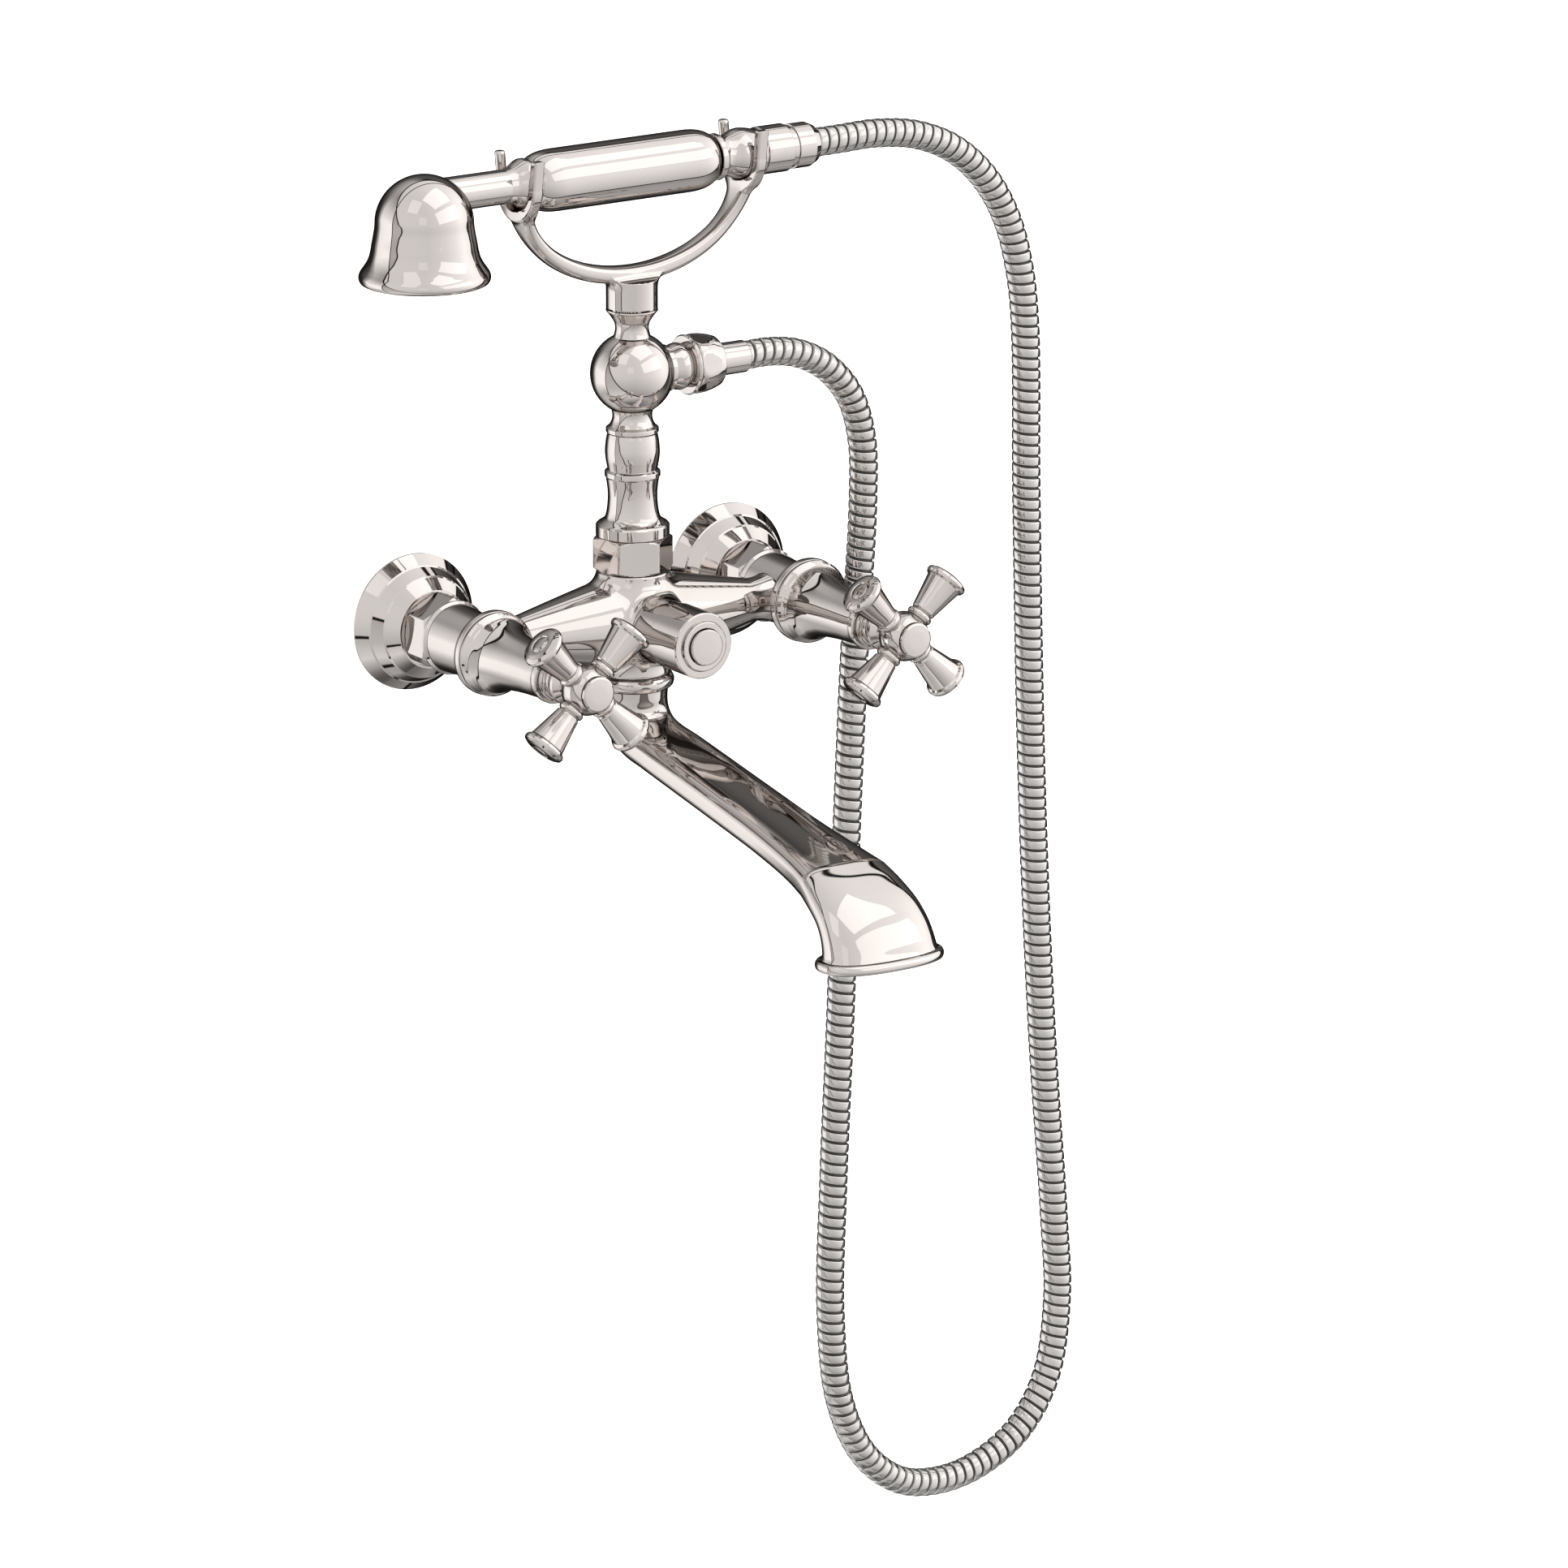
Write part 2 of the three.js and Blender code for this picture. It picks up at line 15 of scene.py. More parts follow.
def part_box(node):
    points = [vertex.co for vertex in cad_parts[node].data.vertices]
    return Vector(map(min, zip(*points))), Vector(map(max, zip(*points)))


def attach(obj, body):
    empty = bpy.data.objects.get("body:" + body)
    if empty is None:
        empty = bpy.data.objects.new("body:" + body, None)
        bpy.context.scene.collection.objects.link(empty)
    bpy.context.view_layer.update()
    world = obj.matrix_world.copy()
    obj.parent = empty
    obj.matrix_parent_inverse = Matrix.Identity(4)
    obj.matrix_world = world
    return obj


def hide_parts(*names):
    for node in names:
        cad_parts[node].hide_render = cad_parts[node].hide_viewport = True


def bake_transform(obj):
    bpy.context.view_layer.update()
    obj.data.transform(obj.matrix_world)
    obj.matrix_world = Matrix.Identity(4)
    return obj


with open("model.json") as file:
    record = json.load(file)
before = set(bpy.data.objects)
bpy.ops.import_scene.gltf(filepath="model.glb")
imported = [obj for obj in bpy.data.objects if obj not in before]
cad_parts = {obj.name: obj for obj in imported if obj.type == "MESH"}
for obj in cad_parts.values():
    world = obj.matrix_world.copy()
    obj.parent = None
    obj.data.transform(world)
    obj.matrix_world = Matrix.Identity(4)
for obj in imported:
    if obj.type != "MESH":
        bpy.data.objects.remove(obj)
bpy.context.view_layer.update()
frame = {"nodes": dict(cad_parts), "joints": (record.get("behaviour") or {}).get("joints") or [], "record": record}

MM = 0.001

# ---- Axes and places, from the frame ----

JOINTS = {joint["name"]: joint for joint in frame["joints"]}
SIDES = ("left", "right")


def middle(node):
    low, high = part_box(node)
    return (low + high) / 2 / MM


VALVE_X = {side: JOINTS[side + "_handle_turn"]["pos_m"][0] / MM for side in SIDES}
RISER_Y = JOINTS["spout_swivel"]["pos_m"][1] / MM
HANDLE_OUT = -middle("left_handle_arm_a").y
BALL_Z = middle("hose_lower_nut").z
HANDSET_Z = middle("handset_grip").z
BELL_X = middle("spray_plate").x
FORK_X = middle("right_cradle_fork").x
FLOOR_Z = -0.80  # metres, well below the hanging hose
FLOOR_HALF = 30  # metres

# Directions of a turned piece: two across its axis, then the axis itself.
OUTWARD = ((1, 0, 0), (0, 0, 1), (0, -1, 0))
UPWARD = ((1, 0, 0), (0, 1, 0), (0, 0, 1))
SIDEWAYS = ((0, 1, 0), (0, 0, 1), (1, 0, 0))


# ---- Camera: the photograph's own view ----

VIEW = (-33.73, 15.44)  # azimuth and elevation of the camera, in degrees
CAMERA_PLACE = (-3.2568, -5.0880, 1.5610)
SENSOR = 36.0
LENS = 262.1


def direction(azimuth, elevation):
    """Azimuth is measured from straight out of the wall toward +X, both in degrees."""
    a, e = math.radians(azimuth), math.radians(elevation)
    return Vector((math.sin(a) * math.cos(e), -math.cos(a) * math.cos(e), math.sin(e)))


def make_camera():
    data = bpy.data.cameras.new("camera")
    data.sensor_width = SENSOR
    data.lens = LENS
    data.clip_end = 100
    camera = bpy.data.objects.new("camera", data)
    camera.location = CAMERA_PLACE
    camera.rotation_mode = "QUATERNION"
    camera.rotation_quaternion = (-direction(*VIEW)).to_track_quat("-Z", "Y")
    bpy.context.scene.collection.objects.link(camera)
    bpy.context.scene.camera = camera


# ---- Materials ----

def new_material(name):
    material = bpy.data.materials.new(name)
    material.use_nodes = True
    tree = material.node_tree
    return material, tree, tree.nodes["Principled BSDF"]


def add_node(tree, kind, settings=None, **inputs):
    """A node with its settings and its inputs: a value, or another node's output."""
    node = tree.nodes.new(kind)
    for key, value in (settings or {}).items():
        setattr(node, key, value)
    for key, value in inputs.items():
        socket = node.inputs[int(key[1:]) if key[1:].isdigit() else key.replace("_", " ")]
        if isinstance(value, bpy.types.NodeSocket):
            tree.links.new(value, socket)
        else:
            socket.default_value = value
    return node


def noise(tree, scale, detail=2.0):
    """Smooth noise through the piece, scale in features per metre."""
    coordinates = add_node(tree, "ShaderNodeTexCoord").outputs["Object"]
    return add_node(tree, "ShaderNodeTexNoise", Vector=coordinates, Scale=scale,
                    Detail=detail).outputs["Fac"]


def ranged(tree, value, low, high):
    return add_node(tree, "ShaderNodeMapRange", Value=value, To_Min=low, To_Max=high).outputs[0]


def blended(tree, fac, first, second):
    mix = add_node(tree, "ShaderNodeMix", {"data_type": "RGBA"}, Factor=fac)
    mix.inputs[6].default_value = (*first, 1)
    mix.inputs[7].default_value = (*second, 1)
    return mix.outputs[2]


POLISH_PATCH = 1.7  # the polish drifts in this many times finer patches than the tint
POLISH_DETAIL = 4.0
GRAIN_DEPTH = 0.05


def metal(name, first, second, smooth, rough, patch, grain, relief, edge=1.0):
    """Metal whose tint and polish drift from patch to patch, with a fine grain in relief.
    The edge is its reflectance at a slant, as a share of its usual one."""
    material, tree, shader = new_material(name)
    shader.inputs["Metallic"].default_value = 1.0
    shader.inputs["Specular Tint"].default_value = (edge, edge, edge, 1)
    tint = blended(tree, noise(tree, patch), first, second)
    tree.links.new(tint, shader.inputs["Base Color"])
    polish = ranged(tree, noise(tree, patch * POLISH_PATCH, POLISH_DETAIL), smooth, rough)
    tree.links.new(polish, shader.inputs["Roughness"])
    bump = add_node(tree, "ShaderNodeBump", Strength=relief, Distance=MM * GRAIN_DEPTH,
                    Height=noise(tree, grain))
    tree.links.new(bump.outputs[0], shader.inputs["Normal"])
    return material


def rubber_material():
    material, tree, shader = new_material("rubber")
    tree.links.new(blended(tree, noise(tree, 300), (0.02, 0.02, 0.02), (0.045, 0.043, 0.042)),
                   shader.inputs["Base Color"])
    tree.links.new(ranged(tree, noise(tree, 900), 0.55, 0.75), shader.inputs["Roughness"])
    return material


MATERIALS = {
    "nickel": metal("nickel", (0.665, 0.618, 0.592), (0.62, 0.575, 0.55), 0.02, 0.05, 25, 160, 0.04, 0.2),
    "hose_steel": metal("hose_steel", (0.62, 0.60, 0.58), (0.56, 0.54, 0.52), 0.08, 0.15, 60, 900, 0.06),
    # A much darker copy of the hose steel for the faces in the hose's groove: painted shade in the groove, not a
    # metal of its own.
    "hose_groove_painted_shade": metal("hose_groove_painted_shade", (0.10, 0.095, 0.09), (0.05, 0.048, 0.045), 0.35, 0.5, 60, 900, 0.1),
    "brass": metal("brass", (0.80, 0.63, 0.33), (0.66, 0.48, 0.22), 0.22, 0.38, 80, 1400, 0.3),
    "steel": metal("steel", (0.66, 0.66, 0.65), (0.52, 0.52, 0.52), 0.25, 0.4, 90, 1500, 0.3),
    "rubber": rubber_material(),
}


# ---- Meshes ----

SHARP_EDGE = math.radians(24)


def make(name, points, faces, body, replaced=(), slot="nickel", normals=None):
    """A finished piece from points in millimetres, riding on a body if one is named."""
    mesh = bpy.data.meshes.new(name)
    mesh.from_pydata((np.asarray(points) * MM).tolist(), [], faces)
    mesh.shade_smooth()
    if normals is not None:
        mesh.normals_split_custom_set_from_vertices(np.asarray(normals).tolist())
    elif body:
        mesh.set_sharp_from_angle(angle=SHARP_EDGE)
    mesh.materials.append(MATERIALS[slot])
    piece = bpy.data.objects.new(name, mesh)
    bpy.context.scene.collection.objects.link(piece)
    if body:
        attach(piece, body)
    if replaced:
        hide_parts(*replaced)
    return piece


def through(points, steps):
    """Points on a centripetal Catmull-Rom curve through the given ones, which may be of any dimension."""
    p = np.array(points, float)
    p = np.vstack([2 * p[0] - p[1], p, 2 * p[-1] - p[-2]])
    found = []
    for a, b, c, d in zip(p, p[1:], p[2:], p[3:]):
        gaps = [np.linalg.norm(second - first) ** 0.5 for first, second in ((a, b), (b, c), (c, d))]
        t = np.cumsum([0, *gaps])
        for u in np.linspace(t[1], t[2], steps, endpoint=False):
            ab = a + (b - a) * (u - t[0]) / (t[1] - t[0])
            bc = b + (c - b) * (u - t[1]) / (t[2] - t[1])
            cd = c + (d - c) * (u - t[2]) / (t[3] - t[2])
            abc = ab + (bc - ab) * (u - t[0]) / (t[2] - t[0])
            bcd = bc + (cd - bc) * (u - t[1]) / (t[3] - t[1])
            found.append(abc + (bcd - abc) * (u - t[1]) / (t[2] - t[1]))
    return np.array([*found, p[-2]])


CORNER_SHARE = 0.48  # how much of a stretch one corner's rounding may take


def rounded(before, corner, after, radius, steps=4):
    """The corner between two straight stretches, rounded off as far as they have room."""
    back, ahead = before - corner, after - corner
    room = min(np.linalg.norm(back), np.linalg.norm(ahead)) * CORNER_SHARE
    back, ahead = back / np.linalg.norm(back), ahead / np.linalg.norm(ahead)
    half = math.acos(max(-1, min(1, float(back @ ahead)))) / 2
    reach = min(room, radius / max(math.tan(half), 1e-6))
    if reach < 0.01 or half > 1.55:
        return [corner]
    first, last = corner + back * reach, corner + ahead * reach
    # A quadratic Bezier curve is close enough to an arc at this size, and meets both sides smoothly.
    shares = np.linspace(0, 1, steps + 1)
    return [first * (1 - s) ** 2 + corner * 2 * s * (1 - s) + last * s ** 2 for s in shares]


def outline(*parts, soft=0.35):
    """One dense line from corners (r, h) or (r, h, rounding) and lists of corners that a curve runs through.
    It is closed on itself unless it starts and ends on the axis."""
    marks = []
    for part in parts:
        if isinstance(part, list):
            run = through(part, 6)
            marks += [(p, soft if i in (0, len(run) - 1) else None) for i, p in enumerate(run)]
        else:
            marks.append((np.array(part[:2], float), part[2] if len(part) > 2 else soft))
    on_axis = marks[0][0][0] == 0 and marks[-1][0][0] == 0
    line = []
    for i, (point, rounding) in enumerate(marks):
        at_end = on_axis and i in (0, len(marks) - 1)
        if rounding is None or at_end:
            line.append(point)
        else:
            line += rounded(marks[i - 1][0], point, marks[(i + 1) % len(marks)][0], rounding)
    line = np.array(line)
    ahead = np.roll(line, -1, 0)
    if (line[:, 0] * ahead[:, 1] - ahead[:, 0] * line[:, 1]).sum() < 0:
        line = line[::-1]
    return line, on_axis


def arc(centre, radius, start, end, steps=20):
    """Points (r, h) on an arc about (0, centre) of the axis, angles in degrees from square across it."""
    angles = np.radians(np.linspace(start, end, steps + 1))
    return [(radius * math.cos(a), centre + radius * math.sin(a)) for a in angles]


FACET_STEP = 0.45  # the longest stretch of an outline that a hexagon cuts


def lathe(line, axes, origin, sides=80, facets=None):
    """Points, faces and normals of an outline turned about an axis.
    With facets = (distance, angle) it is also cut by a hexagon, whose normals are left to the mesh."""
    line, on_axis = line
    u, v, w = (np.array(axis, float) for axis in axes)
    angles = np.arange(sides) * 2 * math.pi / sides
    if facets:
        angles, line = facet_angles(facets[1]), divided(line, FACET_STEP)
    ahead, behind = np.roll(line, -1, 0) - line, line - np.roll(line, 1, 0)
    if on_axis:
        ahead[-1], behind[0] = behind[-1], ahead[0]
    slope = ahead * np.linalg.norm(ahead, axis=1)[:, None] + behind * np.linalg.norm(behind, axis=1)[:, None]
    slope /= np.linalg.norm(slope, axis=1)[:, None] + 1e-12
    radial = np.cos(angles)[:, None] * u + np.sin(angles)[:, None] * v
    points, normals, rows = [], [], []
    for i, (r, h) in enumerate(line):
        pole = on_axis and i in (0, len(line) - 1)
        start = len(points)
        if pole:
            points.append(np.array(origin) + w * h)
            normals.append(w * (1 if i else -1))
            rows.append([start] * len(angles))
            continue
        for j in range(len(angles)):
            reach = min(r, facet_reach(angles[j], facets)) if facets else r
            points.append(np.array(origin) + radial[j] * reach + w * h)
            normals.append(radial[j] * slope[i][1] - w * slope[i][0])
        rows.append(list(range(start, start + len(angles))))
    return points, bridge(rows, closed=not on_axis), None if facets else normals


def turned(name, line, axes, origin, body, replaced=(), slot="nickel", **more):
    points, faces, normals = lathe(line, axes, origin, **more)
    return make(name, points, faces, body, replaced, slot, normals)


def gathered(parts):
    """Several lathe() results as one."""
    points, faces, normals = [], [], []
    for more_points, more_faces, more_normals in parts:
        faces += [[i + len(points) for i in face] for face in more_faces]
        points += more_points
        normals += more_normals
    return points, faces, normals


def bridge(rows, closed):
    """Faces between rows of point numbers. A row that repeats one number is a pole."""
    faces = []
    for low, high in zip(rows, rows[1:] + rows[:1] if closed else rows[1:]):
        for j in range(len(low)):
            k = (j + 1) % len(low)
            face = [low[j], low[k], high[k], high[j]]
            faces.append(list(dict.fromkeys(face)))
    return faces


FACET_STEPS = np.radians([-30, -29.3, -28.4, -26.8, -23, -17, -9, 0, 9, 17, 23, 26.8, 28.4, 29.3])


def facet_angles(first):
    """Angles round a hexagon, closer together near its corners. first is a facet's own angle in degrees."""
    return np.concatenate([math.radians(first + 60 * k) + FACET_STEPS for k in range(6)])


def facet_reach(angle, facets):
    distance, first = facets
    off = (angle - math.radians(first) + math.pi / 6) % (math.pi / 3) - math.pi / 6
    return distance / math.cos(off)


def divided(line, step):
    """The line with points added so that none is further from the next than step."""
    found = []
    for a, b in zip(line, line[1:]):
        count = max(1, math.ceil(np.linalg.norm(b - a) / step))
        found += [a + (b - a) * i / count for i in range(count)]
    return np.array([*found, line[-1]])


# ---- Smooth castings: the surface where a distance field is zero ----

def melt(a, b, reach):
    """Two fields joined, with a fillet."""
    share = np.clip(0.5 + 0.5 * (b - a) / reach, 0, 1)
    return b + (a - b) * share - reach * share * (1 - share)


def drum(across, along, cylinder, rounding=0):
    """The field of a cylinder (radius, middle, half its length), with its rims rounded off if asked."""
    radius, centre, half = cylinder
    side, end = across - radius, np.abs(along - centre) - half
    return -melt(-side, -end, rounding) if rounding else np.maximum(side, end)


SETTLE_STEPS = 5  # times that cast() draws its points onto the surface


def cast(name, field, low, high, step, body, replaced):
    """A mesh of the surface field(x, y, z) = 0, negative inside, with normals from the field itself."""
    low, high = np.array(low, float), np.array(high, float)
    axes = [np.arange(a, b + step, step) for a, b in zip(low, high)]
    inside = field(*np.meshgrid(*axes, indexing="ij")) < 0
    corners = sum(inside[i:i - 1 or None, j:j - 1 or None, k:k - 1 or None].astype(int)
                  for i in (0, 1) for j in (0, 1) for k in (0, 1))
    mixed = (corners > 0) & (corners < 8)
    number = np.full(mixed.shape, -1)
    number[mixed] = np.arange(mixed.sum())
    points = low + (np.argwhere(mixed) + 0.5) * step
    faces = []
    for axis in range(3):
        a = np.take(inside, range(inside.shape[axis] - 1), axis)
        b = np.take(inside, range(1, inside.shape[axis]), axis)
        at = np.argwhere(a != b)
        u, v = (axis + 1) % 3, (axis + 2) % 3
        at = at[(at[:, u] > 0) & (at[:, u] < inside.shape[u] - 1)
                & (at[:, v] > 0) & (at[:, v] < inside.shape[v] - 1)]
        ring = []
        for du, dv in ((0, 0), (1, 0), (1, 1), (0, 1)):
            cell = at.copy()
            cell[:, u] -= du
            cell[:, v] -= dv
            ring.append(number[tuple(cell.T)])
        ring = np.stack(ring, 1)
        leaving = a[tuple(at.T)]
        faces += ring[leaving].tolist() + ring[~leaving][:, ::-1].tolist()
    for _ in range(SETTLE_STEPS):
        slope = gradient(field, points)
        size = np.linalg.norm(slope, axis=1)[:, None] + 1e-9
        move = -field(*points.T)[:, None] * slope / size ** 2
        points = points + move * np.minimum(1, step * 0.5 / (np.linalg.norm(move, axis=1)[:, None] + 1e-9))
    slope = gradient(field, points)
    normals = slope / (np.linalg.norm(slope, axis=1)[:, None] + 1e-9)
    return make(name, points, faces, body, replaced, normals=normals)


def gradient(field, points, step=0.05):
    shifts = np.eye(3) * step
    return np.stack([field(*(points + s).T) - field(*(points - s).T) for s in shifts], 1) / (2 * step)


# ---- Valves: outlines are (radius, distance from the wall) ----

HUB_R = 13.7


def valve(side):
    x = VALVE_X[side]
    base = (x, 0, 0)

    def part(node, line, body="root", slot="nickel", **more):
        turned(f"{side}_{node}_finished", line, OUTWARD, base, body, [f"{side}_{node}"], slot, **more)

    wall_fittings(part)
    valve_tower(part)
    cross_handle(part, side, x)


def wall_fittings(part):
    """The flange on the wall, the supply union through it and the union's nut."""
    part("wall_flange", outline((37.8, 0), (37.8, 1.2), (32.6, 7.8, 0.25), (31.7, 8.2, 0.3),
                                (28.3, 15.4, 0.3), (27.5, 16, 0.3), (21.6, 22, 0.5), (20.6, 22.2),
                                (12.9, 22.2), (12.9, 20.2), (19.6, 20.2), (25.5, 14.4), (29.4, 6.8),
                                (34.3, 0)), sides=112)
    thread = [(10.6 + 0.55 * (i % 2), -13.2 + 0.8 * i, 0.15) for i in range(18)]
    part("supply_union", outline((7.5, -14), (10.2, -14), *thread, (12.6, 2), (12.6, 30.7), (15.6, 30.7),
                                 (15.6, 33.8), (7.5, 33.8)), slot="brass")
    part("union_nut", outline((13.1, 22.6), (18.8, 22.6, 0.3), (21.3, 24.1, 0.3), (21.3, 40.1, 0.3),
                              (18.9, 41.5, 0.3), (16, 41.5), (16, 30.4), (13.1, 30.4)), facets=(18.62, 57))


def valve_tower(part):
    """The barrel, the bonnet in front of it and the cartridge inside them."""
    part("valve_barrel", outline((9, 36.2), (15.6, 36.2), (15.6, 41.8), (19.6, 41.8, 0.3), (20.4, 42.4),
                                 (20.4, 43.6), [(18.9, 44.8), (18.6, 50), (17.9, 62), (17.35, 71),
                                                (17.3, 74.5), (18.2, 77), (21.6, 78.4)],
                                 (23.2, 78.7, 0.7), (23.5, 81, 0.7), (23.1, 83.6, 0.7), (13.2, 83.6),
                                 (13.2, 72), (9, 72)),
         sides=96)
    part("bonnet", outline((13.2, 83.9), (22.9, 83.9, 0.5), (23.1, 85.9, 0.8),
                           [(21.9, 87.4), (20.4, 89), (18.8, 92.4), (17.5, 96), (16.0, 102.6), (15, 110),
                            (14.1, 120), (13.6, 130), (13.3, 138.5), (13.5, 141)],
                           (14.2, 141.8), (14.2, 144.4), (13.5, 145), (9.4, 145), (9.4, 92), (13.2, 88)),
         sides=96)
    part("cartridge", outline((4.4, 60), (8.6, 60), (8.6, 72.3), (12.8, 72.3), (12.8, 87.4), (9, 91.6),
                              (9, 145.4), (12.2, 145.4), (12.2, 147, 0.4), (11.2, 147.4), (11.2, 149, 0.4),
                              (10.2, 149.4), (10.2, 151.6, 0.4), (9.2, 152), (9.2, 154.4), (4.4, 154.4)))


def cross_handle(part, side, x):
    """The hub, its four arms and the cap in its end."""
    handle = side + "_handle"
    sphere = arc(HANDLE_OUT, HUB_R, -52, 44, 24)
    part("handle_hub", outline((4.3, 155), (11.4, 155, 0.4), (12, 156.6, 0.5), (11.8, 158.6, 0.5),
                               [(8.8, 161.2), (8.3, 162.6)], sphere[1:], (4.6, sphere[-1][1]), (4.6, 176),
                               (4.3, 176)),
         handle)
    for i, letter in enumerate("abcd"):
        handle_arm(f"{side}_handle_arm_{letter}", x, math.radians(45 + 90 * i), handle)
    part("handle_cap", outline((0, 184.5), (9.6, 184.5), (9.6, 186.2, 0.5),
                               [(8.6, 186.8), (5, 187.15), (0, 187.25)]),
         handle)


def handle_arm(node, x, angle, body):
    """One trumpet shaped arm of a cross handle. Its outline is (radius, distance from the hub's centre)."""
    away = np.array((math.cos(angle), 0, math.sin(angle)))
    axes = ((0, 1, 0), tuple(np.cross(away, (0, 1, 0))), tuple(away))
    line = outline((0, 12), (6.1, 12), [(6.2, 12.4), (7.0, 13), (7.3, 14.1), (7.0, 15.2), (6.2, 15.9)],
                   [(5.9, 16.2), (6.7, 17.2), (6.9, 18.6), (7.9, 24), (9.2, 31), (10.2, 36)],
                   (11.5, 36.9, 0.4), (12.1, 38.3, 0.7), (11.7, 39.9, 0.8),
                   [(9.8, 40.9), (7.4, 41.5), (5.6, 41.6)], (5.0, 41.2, 0.2), (4.4, 41.5, 0.3),
                   [(3, 41.9), (0, 42.2)],
                   soft=0.25)
    turned(node + "_finished", line, axes, (x, -HANDLE_OUT, 0), body, [node], sides=56)


# ---- Mixer body ----

BARREL_SEAT = 17.0  # how near the body's arms come to the valve axes
ARM_R = 29  # of the arms at the middle, before their taper
ARM_TAPER = 0.225
ARM_CREST = 144  # rounds the taper off at the middle
ARM_SCALE = 0.97  # brings the tapered field close to a distance
ARM_END = 90
FLARE = 4  # how much the arms' ends draw in, from FLARE_FROM on
FLARE_FROM = 72
FLARE_RUN = 14
# Cylinders: radius, then the middle and half the length of each, along the riser or out from it.
BOSS = (19.8, 8, 20)
CUP = (20.5, -18, 11)
SPIGOT = (16.9, 24, 12)
HOUSING = (17.5, -22, 21.8)  # round the diverter
CHAMBER = (11.4, -30, 30)
BORE = (9, 0, 40)
BOSS_RIM = 1.2  # roundings, then the fillets between the castings
CUP_RIM = 1.0
BOSS_FILLET = 7
CUP_FILLET = 6
HOUSING_FILLET = 6
BODY_STEP = 1.0


def body_field(x, y, z):
    out = y - RISER_Y
    reach = np.abs(x)
    flare = np.clip((reach - FLARE_FROM) / FLARE_RUN, 0, 1) ** 2 * FLARE
    arms = (np.hypot(out, z) - (ARM_R - ARM_TAPER * np.sqrt(x ** 2 + ARM_CREST) + flare)) * ARM_SCALE
    arms = np.maximum(arms, reach - ARM_END)
    from_riser, from_diverter = np.hypot(x, out), np.hypot(x, z)
    made = melt(arms, drum(from_riser, z, BOSS, BOSS_RIM), BOSS_FILLET)
    made = melt(made, drum(from_riser, z, CUP, CUP_RIM), CUP_FILLET)
    made = melt(made, drum(from_diverter, out, HOUSING), HOUSING_FILLET)
    made = np.minimum(made, drum(from_riser, z, SPIGOT))
    for valve_x in VALVE_X.values():
        made = np.maximum(made, BARREL_SEAT - np.hypot(x - valve_x, z))
    hollow = np.minimum(drum(from_diverter, out, CHAMBER), drum(from_riser, z, BORE))
    return np.maximum(made, -hollow)


def mixer_body():
    low = (-87, RISER_Y - 45, -31)
    high = (87, RISER_Y + 30, 38)
    cast("mixer_body_finished", body_field, low, high, BODY_STEP, "root", ["mixer_body"])


# ---- Diverter ----

def diverter():
    base = (0, 0, 0)
    turned("diverter_knob_finished",
           outline((15.8, 107), (18.3, 107), (18.3, 131.7, 0.7), (17.6, 132.5, 0.5), (14.1, 132.5, 0.25),
                   (13.6, 134.1, 0.5), (13.1, 134.3), (10.3, 134.3), (10.3, 131), (4.3, 131), (4.3, 112),
                   (8, 112), (8, 127.4), (15.8, 127.4)),
           OUTWARD, base, "diverter", ["diverter_knob"], sides=112)
    turned("diverter_button_finished",
           outline((0, 131.3), (9.9, 131.3), (9.9, 136.2, 0.6), [(9.3, 136.6), (5, 136.8), (0, 136.85)]),
           OUTWARD, base, "diverter", ["diverter_button"])


# ---- Spout ----

SPOUT_WALL = 2.2
SPOUT_SIDES = 96
LIP_WALL = 1.6
# Stations: the section's upper and lower points as (forward of the riser, height) each, its half width,
# and the squareness of its upper and lower halves. The flat top ends in a crease, where the nose starts.
SPOUT_RUN = [
    (19, -37.5, -19, -37.5, 19, 2, 2),
    (18.6, -42, -18.6, -42.5, 18.7, 2, 2),
    (17.9, -46.5, -14.8, -55.5, 18.8, 2.1, 2),
    (19.2, -50.4, -3.5, -67.6, 19.3, 2.3, 2),
    (24.5, -53.4, 13.6, -74.8, 19.9, 2.7, 2.1),
    (38, -56.7, 34, -77.9, 20.5, 3.2, 2.2),
    (102, -68.7, 98, -89.4, 21.0, 3.4, 2.3),
    (152, -78.1, 148, -98.6, 22.0, 3.4, 2.3),
    (187, -84.7, 183, -105.5, 24.8, 3.3, 2.3),
    (207, -88.6, 200, -110, 27.6, 3.1, 2.3),
]
SPOUT_NOSE = [
    (207, -88.6, 200, -110, 27.6, 3.1, 2.3),
    (221, -94.2, 209, -114.3, 29.6, 2.6, 2.3),
    (236.5, -102.8, 216, -119, 31.2, 2.4, 2.3),
    (246.6, -112.6, 219.6, -123.8, 32.4, 2.35, 2.3),
    (252, -121.4, 221.2, -127.6, 33.2, 2.35, 2.35),
    (254.6, -128.2, 221.6, -130, 33.8, 2.4, 2.4),
]
SPOUT_LIP = [
    (255.4, -130.2, 220.8, -130.6, 34.6, 2.4, 2.4),
    (257.6, -131.2, 218.8, -131.2, 36.8, 2.4, 2.4),
    (258.6, -133.4, 217.8, -133.4, 37.6, 2.4, 2.4),
    (257.9, -135.6, 218.5, -135.6, 36.9, 2.4, 2.4),
    (255.6, -136, 220.8, -136, 34.6, 2.4, 2.4),
]


